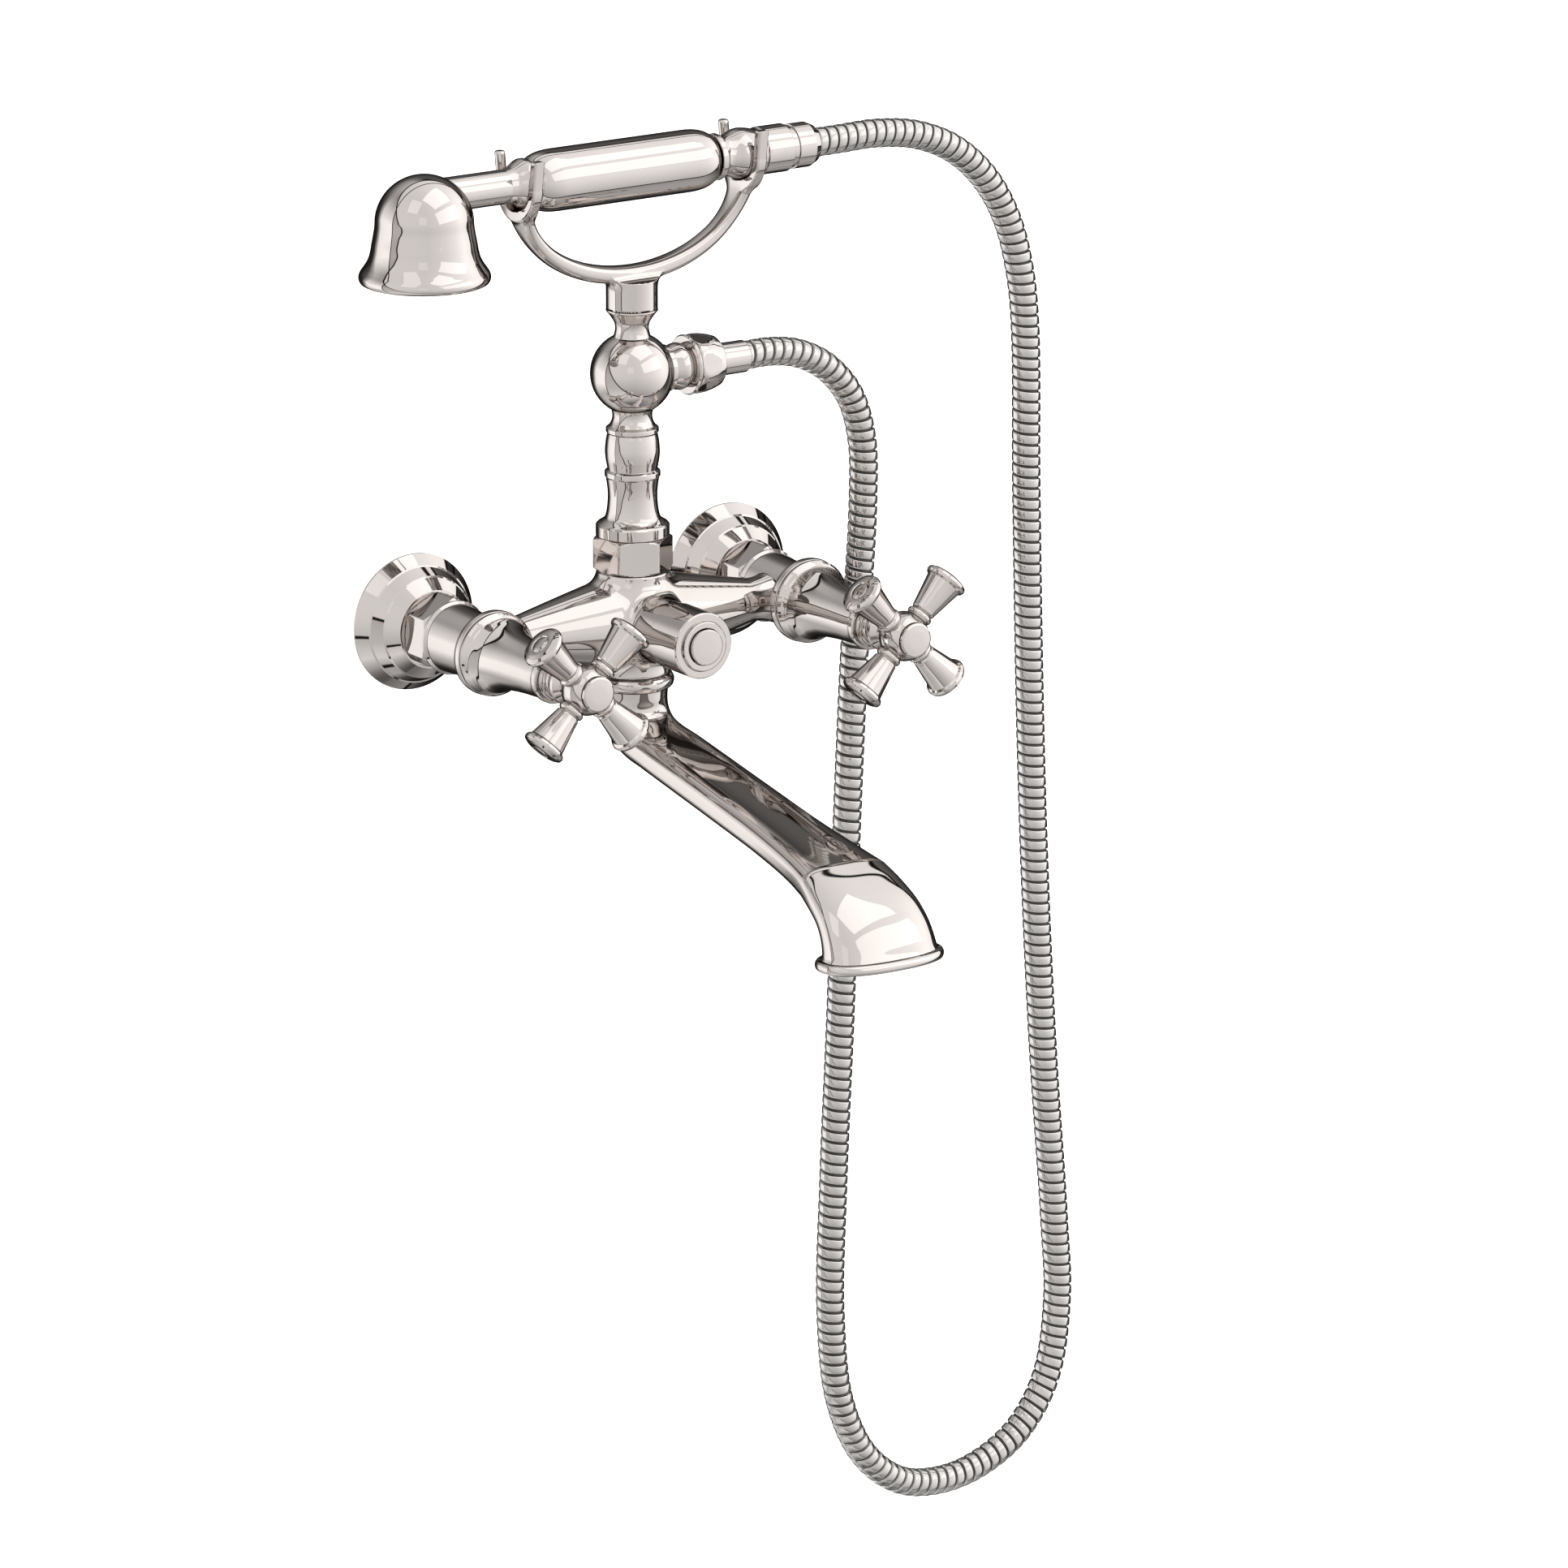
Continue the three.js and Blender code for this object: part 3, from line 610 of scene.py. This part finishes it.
def spout_ring(station, inward):
    """One section of the spout, drawn inward by a distance."""
    top_out, top_z, low_out, low_z, half_width, top_power, low_power = station
    top, low = np.array((0, RISER_Y - top_out, top_z)), np.array((0, RISER_Y - low_out, low_z))
    centre, half = (top + low) / 2, (top - low) / 2
    depth = np.linalg.norm(half)
    up = half / depth
    angles = np.arange(SPOUT_SIDES) * 2 * math.pi / SPOUT_SIDES
    power = np.where(np.sin(angles) >= 0, top_power, low_power)
    across = np.sign(np.cos(angles)) * np.abs(np.cos(angles)) ** (2 / power) * (half_width - inward)
    rise = np.sign(np.sin(angles)) * np.abs(np.sin(angles)) ** (2 / power) * (depth - inward)
    return centre + across[:, None] * np.array((1, 0, 0)) + rise[:, None] * up


def spout():
    run = through(SPOUT_RUN, 8)
    nose = through(SPOUT_NOSE, 8)
    lip = through(SPOUT_LIP, 4)
    outside = [*run, *nose[1:], *lip]
    inside = [*nose[::-3], *run[::-4]]
    rings = [spout_ring(s, 0) for s in outside]
    rings += [spout_ring((*SPOUT_LIP[-1][:4], SPOUT_LIP[-1][4], 2.4, 2.4), LIP_WALL)]
    rings += [spout_ring(s, SPOUT_WALL) for s in inside]
    count = len(rings[0])
    rows = [list(range(i * count, (i + 1) * count)) for i in range(len(rings))]
    make("spout_finished", np.concatenate(rings), bridge(rows, closed=True), "spout", ["spout"])
    turned("spout_collar_finished",
           outline((14, -29.2), (20.2, -29.2, 0.4), [(21.4, -30.2), (22.2, -31.8), (22.3, -33.4),
                                                     (21.9, -35.2), (20.8, -36.6)],
                   (19.6, -37.2), (14, -37.2)),
           UPWARD, (0, RISER_Y, 0), "root", ["spout_collar"], sides=112)


# ---- Riser: outlines are (radius, height) ----

BALL_R = 22.8


def riser():
    base = (0, RISER_Y, 0)
    turned("riser_nut_finished",
           outline((14.5, 47.2), (19.4, 47.2, 0.3), (22.0, 45.6, 0.3), (22.0, 29.9, 0.3), (19.4, 28.3, 0.3),
                   (17.2, 28.3), (17.2, 40), (14.5, 40)),
           UPWARD, base, "root", ["riser_nut"], facets=(19.23, 7.5))
    lower = arc(BALL_Z, BALL_R, -59.6, 63.6, 40)
    turned("riser_column_finished",
           outline((0, 38.1), (16.6, 38.1), (16.6, 39.7), (14.2, 39.7), (14.2, 47.5, 0.2), (20.1, 47.5, 0.6),
                   [(20.1, 53.2), (19.3, 54.2), (17.2, 55.5), (15.3, 57.2), (14.4, 60), (13.9, 63),
                    (13.5, 69), (13.7, 73.6), (14.5, 79.6)],
                   (15.2, 80.5, 0.7), (15.2, 83, 0.7),
                   [(13.6, 84.2), (14.1, 87), (14.6, 89.8), (14.95, 94), (14.7, 98), (14.3, 101),
                    (13.6, 104.2)],
                   (14.4, 105, 0.6), (14.4, 107.1, 0.6),
                   [(12.7, 108.4), (11.5, 110.6), (10.9, 113), (11.0, 115.4), lower[0]], lower[1:-1],
                   [lower[-1], (9.4, 160.2), (9.15, 162.6), (9.7, 165.3), (11, 167.6), (12.5, 169.8),
                    (13.8, 171.4)],
                   (14.2, 172, 0.2), (14.1, 172.8, 0.2), (0, 172.8)),
           UPWARD, base, "root", ["riser_column"], sides=96)
    side = (0, RISER_Y, BALL_Z)
    turned("ball_outlet_finished",
           outline((0, 12), (12.4, 12), (12.9, 20, 0.4), (12.9, 21.7, 0.5),
                   [(11.0, 22.4), (11.8, 24.4), (12.7, 27), (12.9, 29), (12.4, 31.4), (11.4, 33.2)],
                   (15.8, 33.4, 0.5), (16.8, 34.7, 0.9), (15.8, 36, 0.5), (10.2, 36), (10.2, 46), (0, 46)),
           SIDEWAYS, side, "root", sides=96)


# ---- Cradle: a bow with a fork at each end, cast in one ----

SADDLE_R = 14.4
PRONG = 5.0
PRONG_HALF = 3.2
PRONG_RISE = 15.8  # from the hand shower's axis to the prong tips
PRONG_LEAN = 2.1  # how far the front prong leans out at its tip
PRONG_FOOT = 0.5  # how far it goes below the axis
PRONG_RIM = 1.2
POST_R = 2.9
POST_DROP = 1.5  # how much lower the post's middle is than the prong's
POST_MORE = 1  # how much longer it is than the prong, at each end
POST_RIM = 1.5
POST_FILLET = 1.0
BOW_Z = 241.5  # centre of the bow's half ellipse
BOW_DROP = 49.3  # from there to the middle of the bow's lowest point
BOW_HALF = 4.2  # half the thickness of the bow, with this much more below BOW_THICK_FROM
BOW_THICKER = 0.8
BOW_THICK_FROM = 212
BOW_THICK_RUN = 20
BOW_WIDTH = 5.9  # half its width, front to back, with this much more above BOW_WIDE_FROM
BOW_WIDER = 4.6
BOW_WIDE_FROM = 208
BOW_WIDE_RUN = 26
BOW_POWER = 2.6  # squareness of its section
BOW_END = 236
STEM = (14.05, 181.2, 8)  # radius, middle and half its height
STEM_FOOT = 173.2
STEM_FILLET = 5
FORK_FILLET = 3.5
CRADLE_STEP = 0.9


def ellipse_distance(x, z, half_x, half_z):
    """How far outside an ellipse a point is, close to exact near it."""
    level = np.hypot(x / half_x, z / half_z)
    slope = np.hypot(x / half_x ** 2, z / half_z ** 2) / np.maximum(level, 1e-6)
    return (level - 1) / np.maximum(slope, 1e-6)


def bow_field(x, out, z):
    """The bow is thickest at the bottom, and widens from front to back toward its forks."""
    half = BOW_HALF + BOW_THICKER * np.clip((BOW_THICK_FROM - z) / BOW_THICK_RUN, 0, 1)
    radial = np.abs(ellipse_distance(x, z - BOW_Z, FORK_X, BOW_DROP)) / half
    width = BOW_WIDTH + BOW_WIDER * np.clip((z - BOW_WIDE_FROM) / BOW_WIDE_RUN, 0, 1) ** 2
    across = np.abs(out) / width
    section = ((radial ** BOW_POWER + across ** BOW_POWER) ** (1 / BOW_POWER) - 1) * half
    return np.maximum(section, z - BOW_END)


def fork_field(x, out, z):
    """A half ring under the hand shower, a flat prong in front and a round post behind."""
    rise = z - HANDSET_Z
    ring = np.abs(np.hypot(out, rise) - (SADDLE_R + PRONG / 2)) - PRONG / 2
    ring = np.maximum(ring, rise)
    lean = SADDLE_R + PRONG / 2 + PRONG_LEAN * np.clip(rise / PRONG_RISE, 0, 1)
    ends = np.maximum(rise - PRONG_RISE, -rise - PRONG_FOOT)
    front = np.maximum(np.abs(out + lean) - PRONG / 2, ends)
    width = np.abs(np.abs(x) - FORK_X) - PRONG_HALF
    flat = np.minimum(ring, front)
    flat = -melt(-flat, -width, PRONG_RIM)
    post = np.hypot(out - lean, np.abs(x) - FORK_X) - POST_R
    ends = np.abs(rise - PRONG_RISE / 2 + POST_DROP) - PRONG_RISE / 2 - POST_MORE
    post = -melt(-post, -ends, POST_RIM)
    return melt(flat, post, POST_FILLET)


def cradle_field(x, y, z):
    out = y - RISER_Y
    made = melt(bow_field(x, out, z), drum(np.hypot(x, out), z, STEM), STEM_FILLET)
    made = np.maximum(made, STEM_FOOT - z)
    rest = SADDLE_R - np.hypot(out, z - HANDSET_Z)
    return np.maximum(melt(made, fork_field(x, out, z), FORK_FILLET), rest)


def cradle():
    low = (-88, RISER_Y - 24, 171)
    high = (88, RISER_Y + 24, 268)
    cast("cradle_finished", cradle_field, low, high, CRADLE_STEP, "root",
         ["cradle_bow", "left_cradle_fork", "right_cradle_fork"])


# ---- Hand shower: outlines are (radius, distance along its axis) ----

GRIP_LEFT = -66.2  # the grip's two ends
GRIP_RIGHT = 51
NOZZLE_RINGS = ((8, 9.5), (14, 16.5), (20, 23.5))  # how many, and at what radius


def handset():
    axis = (0, RISER_Y, HANDSET_Z)
    head = (BELL_X, RISER_Y, 0)
    body = "handset"
    dome = arc(235.6, 26.6, 90, 0, 24)
    turned("handset_bell_finished",
           outline([*dome[:-2], (26.7, 234), (27.3, 230), (28.2, 225.3), (29, 220.6), (30, 217),
                    (31.3, 214.3), (33, 211.7), (34.6, 209.4), (35.3, 207.6), (35.3, 205.8), (34.5, 204.2),
                    (33.4, 203.6)],
                   (32.4, 204.2), (32.2, 208.4), (27.2, 220), (24.4, 235.6), (19, 250), (0, 259)),
           UPWARD, head, body, ["handset_bell"], sides=128)
    spray_plate(head, body)
    turned("handset_neck_finished",
           outline((0, -124), (9.4, -124), (9.4, -81),
                   [(9.5, -80.4), (10.4, -76.6), (12.5, -73), (13.8, -70.4), (14, -68.6), (13.9, -67.6),
                    (13.6, -66.5)], (0, -66.5)),
           SIDEWAYS, axis, body, ["handset_neck"], sides=96)
    # The rounded end of the grip, with its distance inward from the end.
    end = [(10.8, -0.4), (13, -1.6), (14.8, -4.2), (16.1, -8), (16.8, -12.4), (17, -17.5)]
    turned("handset_grip_finished",
           outline((0, GRIP_LEFT), (9.6, GRIP_LEFT), [(r, GRIP_LEFT - h) for r, h in end],
                   [(r, GRIP_RIGHT + h) for r, h in end[::-1]], (9.6, GRIP_RIGHT), (0, GRIP_RIGHT)),
           SIDEWAYS, axis, body, ["handset_grip"], sides=112)
    turned("handset_tail_finished",
           outline((0, 51.4), (12.8, 51.4, 0.6), (12.8, 54.7, 0.6),
                   [(11.3, 55.4), (10.9, 57), (10.9, 59), (11.8, 62), (13.3, 65.6), (14, 68.6), (14, 70.6),
                    (13.4, 74.6), (12.4, 78.6)],
                   (12.4, 80.4, 0.2), (13.2, 81, 0.4), (13.2, 97.2, 0.5), (12.4, 97.6), (0, 97.6)),
           SIDEWAYS, axis, body, ["handset_tail"], sides=96)


def spray_plate(head, body):
    turned("spray_plate_finished",
           outline((2.6, 207.8), (31.6, 207.8), (31.6, 206.2, 0.4), (30.4, 205.4, 0.4),
                   [(24, 205.2), (14, 205.1), (6, 205.3)], (5.2, 205.5), (2.6, 205.5)),
           UPWARD, head, body, ["spray_plate"], sides=112)
    nozzle = outline((0, 206), (1.7, 206), (1.7, 204.9, 0.3), (1.2, 204.3, 0.25), (0.55, 204.3, 0.1),
                     (0.55, 205), (0, 205))
    nozzles = []
    for count, radius in NOZZLE_RINGS:
        for k in range(count):
            angle = 2 * math.pi * k / count
            place = (head[0] + radius * math.cos(angle), head[1] + radius * math.sin(angle), 0)
            nozzles.append(lathe(nozzle, UPWARD, place, sides=14))
    points, faces, normals = gathered(nozzles)
    make("spray_nozzles", points, faces, body, (), "rubber", normals)


# ---- Hose: the route that the CAD model gives it, as [x, z] in the plane of the riser ----

HOSE_PITCH = 6.15
HOSE_START = 72.3
HOSE_END = 116.3
TUCK = 6.0  # how far the hose goes into its sleeves
ROUTE = [[HOSE_START - TUCK, BALL_Z], [90, 137.2], [108.7, 133.4], [127, 123], [142, 105],
         [149.6, 80], [150.4, 45], [145, -38], [140.4, -130], [136, -246], [131.5, -339], [129.6, -419],
         [136, -472], [153, -507], [178, -526.5], [206, -531], [233, -525.5], [258, -510.5],
         [276.5, -483], [284, -438], [281.5, -389], [273.4, -292], [267.4, -196], [263.3, -102],
         [259.6, 38], [258, 131], [254, 163], [245.4, 192], [230.6, 216.5], [210, 235], [185, 246],
         [158, 250], [135, 249.8], [HOSE_END - TUCK, HANDSET_Z]]
# One turn of the wound strip: (share of the pitch, radius), a crowned band and the groove after it.
STRIP = [(0.0, 6.9), (0.01, 7.6), (0.045, 7.92), (0.12, 8.0), (0.40, 8.0), (0.64, 7.92), (0.74, 7.76),
         (0.79, 7.4), (0.80, 6.9), (0.90, 6.8)]
GROOVE = (7, 8, 9)  # the spans of the strip that are the groove
HOSE_SIDES = 26


def hose_line():
    """The hose's centreline in millimetres, closely spaced, and each point's distance along it."""
    flat = through(ROUTE, 40)
    line = np.stack([flat[:, 0], np.full(len(flat), RISER_Y), flat[:, 1]], 1)
    lengths = np.concatenate([[0], np.cumsum(np.linalg.norm(np.diff(line, axis=0), axis=1))])
    return line, lengths


def hose():
    line, lengths = hose_line()
    total = lengths[-1]
    slope = np.gradient(line, lengths, axis=0)
    slope /= np.linalg.norm(slope, axis=1)[:, None]
    turns = math.ceil(total / HOSE_PITCH) + 1
    shares, radii = np.array(STRIP).T
    starts = np.arange(-1, turns + 1)
    along = (starts[:, None] + shares).ravel() * HOSE_PITCH
    radius = np.tile(radii, len(starts))
    points = []
    for j in range(HOSE_SIDES):
        angle = 2 * math.pi * j / HOSE_SIDES
        s = along - HOSE_PITCH * j / HOSE_SIDES
        size = np.where((s > 0) & (s < total), radius, radii[0])[:, None]
        s = np.clip(s, 0, total)
        at = np.stack([np.interp(s, lengths, line[:, k]) for k in range(3)], 1)
        ahead = np.stack([np.interp(s, lengths, slope[:, k]) for k in range(3)], 1)
        side = np.array((0, 1, 0))
        up = np.cross(ahead, side)
        points.append(at + size * (math.cos(angle) * side + math.sin(angle) * up))
    points = np.stack(points, 1)
    faces = hose_faces(len(along), len(STRIP))
    piece = make("hose_finished", points.reshape(-1, 3), faces, None, ["hose"], "hose_steel")
    # The groove's faces take the dark copy of the steel, which paints the shade that falls into the groove.
    piece.data.materials.append(MATERIALS["hose_groove_painted_shade"])
    groove = [face[0] // HOSE_SIDES % len(STRIP) in GROOVE for face in faces]
    piece.data.polygons.foreach_set("material_index", groove)
    tidy_ends(piece)
    return piece, line, lengths


def hose_faces(rows, turn):
    """Quads of a wound strip: the last side of a row meets the first side of the row one turn before."""
    faces = []
    for i in range(rows - 1):
        for j in range(HOSE_SIDES):
            k = (j + 1) % HOSE_SIDES
            back = turn if k == 0 else 0
            if i >= back:
                a, b = i * HOSE_SIDES + j, (i - back) * HOSE_SIDES + k
                faces.append((a, b, b + HOSE_SIDES, a + HOSE_SIDES))
    return faces


def tidy_ends(piece):
    """The hose's ends, drawn together and capped where they sit in their sleeves."""
    shape = bmesh.new()
    shape.from_mesh(piece.data)
    bmesh.ops.remove_doubles(shape, verts=shape.verts, dist=0.002 * MM)
    rims = [edge for edge in shape.edges if edge.is_boundary]
    bmesh.ops.holes_fill(shape, edges=rims, sides=HOSE_SIDES + 4)
    bmesh.ops.recalc_face_normals(shape, faces=shape.faces)
    shape.to_mesh(piece.data)
    shape.free()
    piece.data.shade_smooth()


def hose_fittings():
    lower, upper = (0, RISER_Y, BALL_Z), (0, RISER_Y, HANDSET_Z)
    nut = turned("hose_lower_nut_finished",
                 outline((10.6, 36.3), (15.0, 36.3, 0.5),
                         [(15.9, 37.2), (16.4, 39.6), (16.2, 43.2), (15.5, 47), (14.5, 50.6)],
                         (13.9, 52.4, 0.7), (9.3, 52.4), (9.3, 48), (10.6, 48)),
                 SIDEWAYS, lower, "root", ["hose_lower_nut"], facets=(15.0, 48))
    sleeve = turned("hose_lower_ferrule_finished",
                    outline((8.15, 49), (9.0, 49), (8.9, 71.4, 0.4), (8.5, 72), (8.15, 72)),
                    SIDEWAYS, lower, "root", ["hose_lower_ferrule"], sides=64)
    ferrule = turned("hose_upper_ferrule_finished",
                     outline((9.7, 97.9), (11.5, 97.9, 0.2), (11.5, 101.2), (12.4, 101.5, 0.3),
                             (12.4, 111.8, 0.5), (10.5, 115.9, 0.4), (8.15, 116), (8.15, 108), (9.7, 108)),
                     SIDEWAYS, upper, "handset", ["hose_upper_ferrule"], sides=80)
    return [nut, sleeve, ferrule]


def hang_hose():
    piece, line, lengths = hose()
    fittings = hose_fittings()
    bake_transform(piece)
    spread_lift(piece, line, lengths)


def spread_lift(piece, line, lengths):
    """Finds each point of the hose's distance along its centreline, from the nearest point of the line; nothing
    more is done with it."""
    points = np.array([v.co for v in piece.data.vertices]) / MM
    tree = kdtree.KDTree(len(line))
    for i, point in enumerate(line):
        tree.insert(point, i)
    tree.balance()
    place = np.array([lengths[tree.find(point)[1]] for point in points])


# ---- Hidden parts keep their CAD shape and take a finish of their own ----

def finish_cad_nodes():
    slots = {part["node"]: part["material_slot"] for part in frame["record"]["subparts"]}
    for name, node in frame["nodes"].items():
        if not node.hide_render:
            node.data.materials.clear()
            node.data.materials.append(MATERIALS[slots[name]])


# ---- Studio: what the metal reflects is a grey level for each direction, and softboxes ----

def calc(tree, operation, *values, clamp=False):
    node = add_node(tree, "ShaderNodeMath", {"operation": operation, "use_clamp": clamp},
                    **{f"_{i}": value for i, value in enumerate(values)})
    return node.outputs[0]


def stepped(tree, value, stops):
    """A level that changes steadily between (value, level) stops, for a value from -1 to 1."""
    ramp = add_node(tree, "ShaderNodeValToRGB", Fac=calc(tree, "MULTIPLY_ADD", value, 0.5, 0.5))
    ramp.color_ramp.interpolation = "LINEAR"
    elements = ramp.color_ramp.elements
    elements.remove(elements[1])
    for i, (place, level) in enumerate(stops):
        element = elements[0] if i == 0 else elements.new(place / 2 + 0.5)
        element.position = place / 2 + 0.5
        element.color = (level, level, level, 1)
    return ramp.outputs[0]


LIGHT_LEVEL = 1.05
SEAM_LEVEL = 0.01
# A direction meets the room in front where its y and z times these add up to more than 0.
ROOM_OUT, ROOM_UP = -0.81, 0.58
ROOM_SEAM = 0.035
BACK_SEAM = 0.024
BACK_EDGE = 0.35  # how far a direction points into the wall before it counts as behind the object

# The room in front: by x from left to right, and by z from the floor to the ceiling.
ROOM_ACROSS = [(-1, 0.93), (-0.4, 0.89), (0, 0.97), (0.33, 1.08), (0.52, 1.18), (0.7, 1.3), (0.9, 1.55)]
ROOM_HEIGHT = [(-1, 0.2), (-0.92, 0.4), (-0.75, 0.52), (-0.5, 0.72), (-0.24, 0.86), (0, 0.97), (0.3, 1.0)]
# A strip of wall beside the object, by z: pale on the left, dark on the right.
LEFT_STRIP = [(-1, 0.1), (-0.93, 0.5), (-0.8, 0.95), (-0.5, 0.7), (0, 0.62), (0.35, 0.45), (0.57, 0.25),
              (0.76, 0.15), (0.79, 0.01), (0.88, 0.02), (0.9, 0.6), (1, 0.65)]
RIGHT_STRIP = [(-1, 0.2), (-0.85, 0.55), (-0.7, 0.4), (-0.45, 0.1), (0, 0.05), (0.7, 0.06), (0.9, 0.04),
               (1, 0.5)]
STRIP_SPLIT = 0.05
# Behind the object, by z: a white panel on the left, a dim gap and a dark right half.
PANEL = [(-1, 0.12), (-0.93, 0.5), (-0.85, 0.9), (-0.6, 0.7), (-0.35, 1.4), (0, 1.4), (0.15, 1.1),
         (0.35, 0.86), (0.53, 0.57), (0.7, 0.33), (0.73, 0.01), (0.8, 0.02), (0.82, 0.5), (1, 0.7)]
GAP = [(-1, 0.08), (-0.8, 0.12), (-0.3, 0.06), (0.05, 0.05), (0.3, 0.15), (0.6, 0.5), (0.85, 0.7), (1, 0.7)]
DARK = [(-1, 0.12), (-0.85, 0.25), (-0.7, 0.1), (-0.5, 0.04), (-0.1, 0.03), (0.2, 0.14), (0.55, 0.18),
        (0.66, 0.1), (0.7, 0.02), (0.75, 0.02), (0.8, 0.35), (0.9, 0.6)]
GAP_TO_DARK = [(0.15, 0), (0.4, 1)]
PANEL_TO_GAP = [(-0.48, 1), (-0.36, 0.4), (-0.2, 0)]
PANEL_TURN = 0.24  # below this much under the horizon the panel's edge moves to the right
PANEL_SLANT = 0.8


def make_world():
    """A grey level for each direction: x is to the right along the wall, y into the wall and z up."""
    world = bpy.data.worlds.new("studio")
    world.use_nodes = True
    bpy.context.scene.world = world
    tree = world.node_tree
    tree.nodes.clear()
    way = add_node(tree, "ShaderNodeTexCoord").outputs["Generated"]
    x, y, z = add_node(tree, "ShaderNodeSeparateXYZ", Vector=way).outputs
    tilted = calc(tree, "MULTIPLY_ADD", y, ROOM_OUT, calc(tree, "MULTIPLY", z, ROOM_UP))
    room = calc(tree, "MULTIPLY", stepped(tree, x, ROOM_ACROSS), stepped(tree, z, ROOM_HEIGHT))
    strip = mixed(tree, calc(tree, "GREATER_THAN", x, STRIP_SPLIT), stepped(tree, z, LEFT_STRIP),
                  stepped(tree, z, RIGHT_STRIP))
    behind = mixed(tree, stepped(tree, x, GAP_TO_DARK), stepped(tree, z, GAP), stepped(tree, z, DARK))
    lower = calc(tree, "MINIMUM", calc(tree, "ADD", z, PANEL_TURN), 0.0)
    edge = calc(tree, "MULTIPLY_ADD", lower, PANEL_SLANT, x)
    behind = mixed(tree, stepped(tree, edge, PANEL_TO_GAP), behind, stepped(tree, z, PANEL))
    level = mixed(tree, calc(tree, "GREATER_THAN", y, BACK_EDGE), strip, behind)
    level = mixed(tree, calc(tree, "GREATER_THAN", tilted, 0.0), level, room)
    # Dark seams between the room, the strip and what is behind.
    seam = calc(tree, "MAXIMUM", near(tree, tilted, 0.0, ROOM_SEAM), near(tree, y, BACK_EDGE, BACK_SEAM))
    level = calc(tree, "MULTIPLY", mixed(tree, seam, level, SEAM_LEVEL), LIGHT_LEVEL)
    seen = add_node(tree, "ShaderNodeLightPath").outputs["Is Camera Ray"]
    background = add_node(tree, "ShaderNodeBackground", Color=mixed(tree, seen, level, 1.0))
    output = tree.nodes.new("ShaderNodeOutputWorld")
    tree.links.new(background.outputs[0], output.inputs[0])


def near(tree, value, place, reach):
    """1 within half the reach of a place, falling to 0 at the whole reach."""
    off = calc(tree, "ABSOLUTE", calc(tree, "SUBTRACT", value, place))
    return calc(tree, "MULTIPLY_ADD", off, -2 / reach, 2.0, clamp=True)


def mixed(tree, share, first, second):
    """The first level where the share is 0, the second where it is 1."""
    node = add_node(tree, "ShaderNodeMix", {"data_type": "FLOAT"})
    for socket, value in zip(node.inputs[:1] + node.inputs[2:4], (share, first, second)):
        if isinstance(value, bpy.types.NodeSocket):
            tree.links.new(value, socket)
        else:
            socket.default_value = value
    return node.outputs[0]


LAMP_DISTANCE = 3.0
LAMP_TARGET = Vector((0, RISER_Y * MM, 0.1))
# Azimuth and elevation, width and height in metres, and what it adds to the room behind it.
SOFTBOXES = {
    "softbox_above": (30, 66, 2.6, 1.9, 0.5),
    "softbox_right": (30, 26, 3.4, 1.5, 0.42),
    "softbox_left": (-66, 49, 1.2, 1.5, 0.25),
    "softbox_camera": (-37, 20, 0.9, 0.85, 0.12),
}


def softbox(name, azimuth, elevation, width, height, radiance):
    """A rectangular lamp of even brightness that faces the object."""
    data = bpy.data.lights.new(name, "AREA")
    data.shape = "RECTANGLE"
    data.size, data.size_y = width, height
    data.energy = radiance * math.pi * width * height
    lamp = bpy.data.objects.new(name, data)
    lamp.location = LAMP_TARGET + direction(azimuth, elevation) * LAMP_DISTANCE
    lamp.rotation_mode = "QUATERNION"
    lamp.rotation_quaternion = (LAMP_TARGET - lamp.location).to_track_quat("-Z", "Y")
    lamp.visible_camera = False
    bpy.context.scene.collection.objects.link(lamp)


FLOOR_GREY = 0.9
FLOOR_ROUGHNESS = 0.9
FLOOR_GLOW = 0.95


def make_floor():
    mesh = bpy.data.meshes.new("floor")
    corners = [(x * FLOOR_HALF, y * FLOOR_HALF, FLOOR_Z) for x, y in ((-1, -1), (1, -1), (1, 1), (-1, 1))]
    mesh.from_pydata(corners, [], [(0, 1, 2, 3)])
    material, tree, shader = new_material("floor")
    shader.inputs["Base Color"].default_value = (FLOOR_GREY, FLOOR_GREY, FLOOR_GREY, 1)
    shader.inputs["Roughness"].default_value = FLOOR_ROUGHNESS
    shader.inputs["Emission Color"].default_value = (1, 1, 1, 1)
    shader.inputs["Emission Strength"].default_value = FLOOR_GLOW
    mesh.materials.append(material)
    floor = bpy.data.objects.new("floor", mesh)
    floor.visible_glossy = False
    bpy.context.scene.collection.objects.link(floor)


def make_light():
    make_world()
    make_floor()
    for name, values in SOFTBOXES.items():
        softbox(name, *values)
    bpy.context.scene.view_settings.view_transform = "Standard"


def main():
    make_camera()
    hang_hose()
    for side in SIDES:
        valve(side)
    mixer_body()
    diverter()
    spout()
    riser()
    cradle()
    handset()
    finish_cad_nodes()
    make_light()


main()
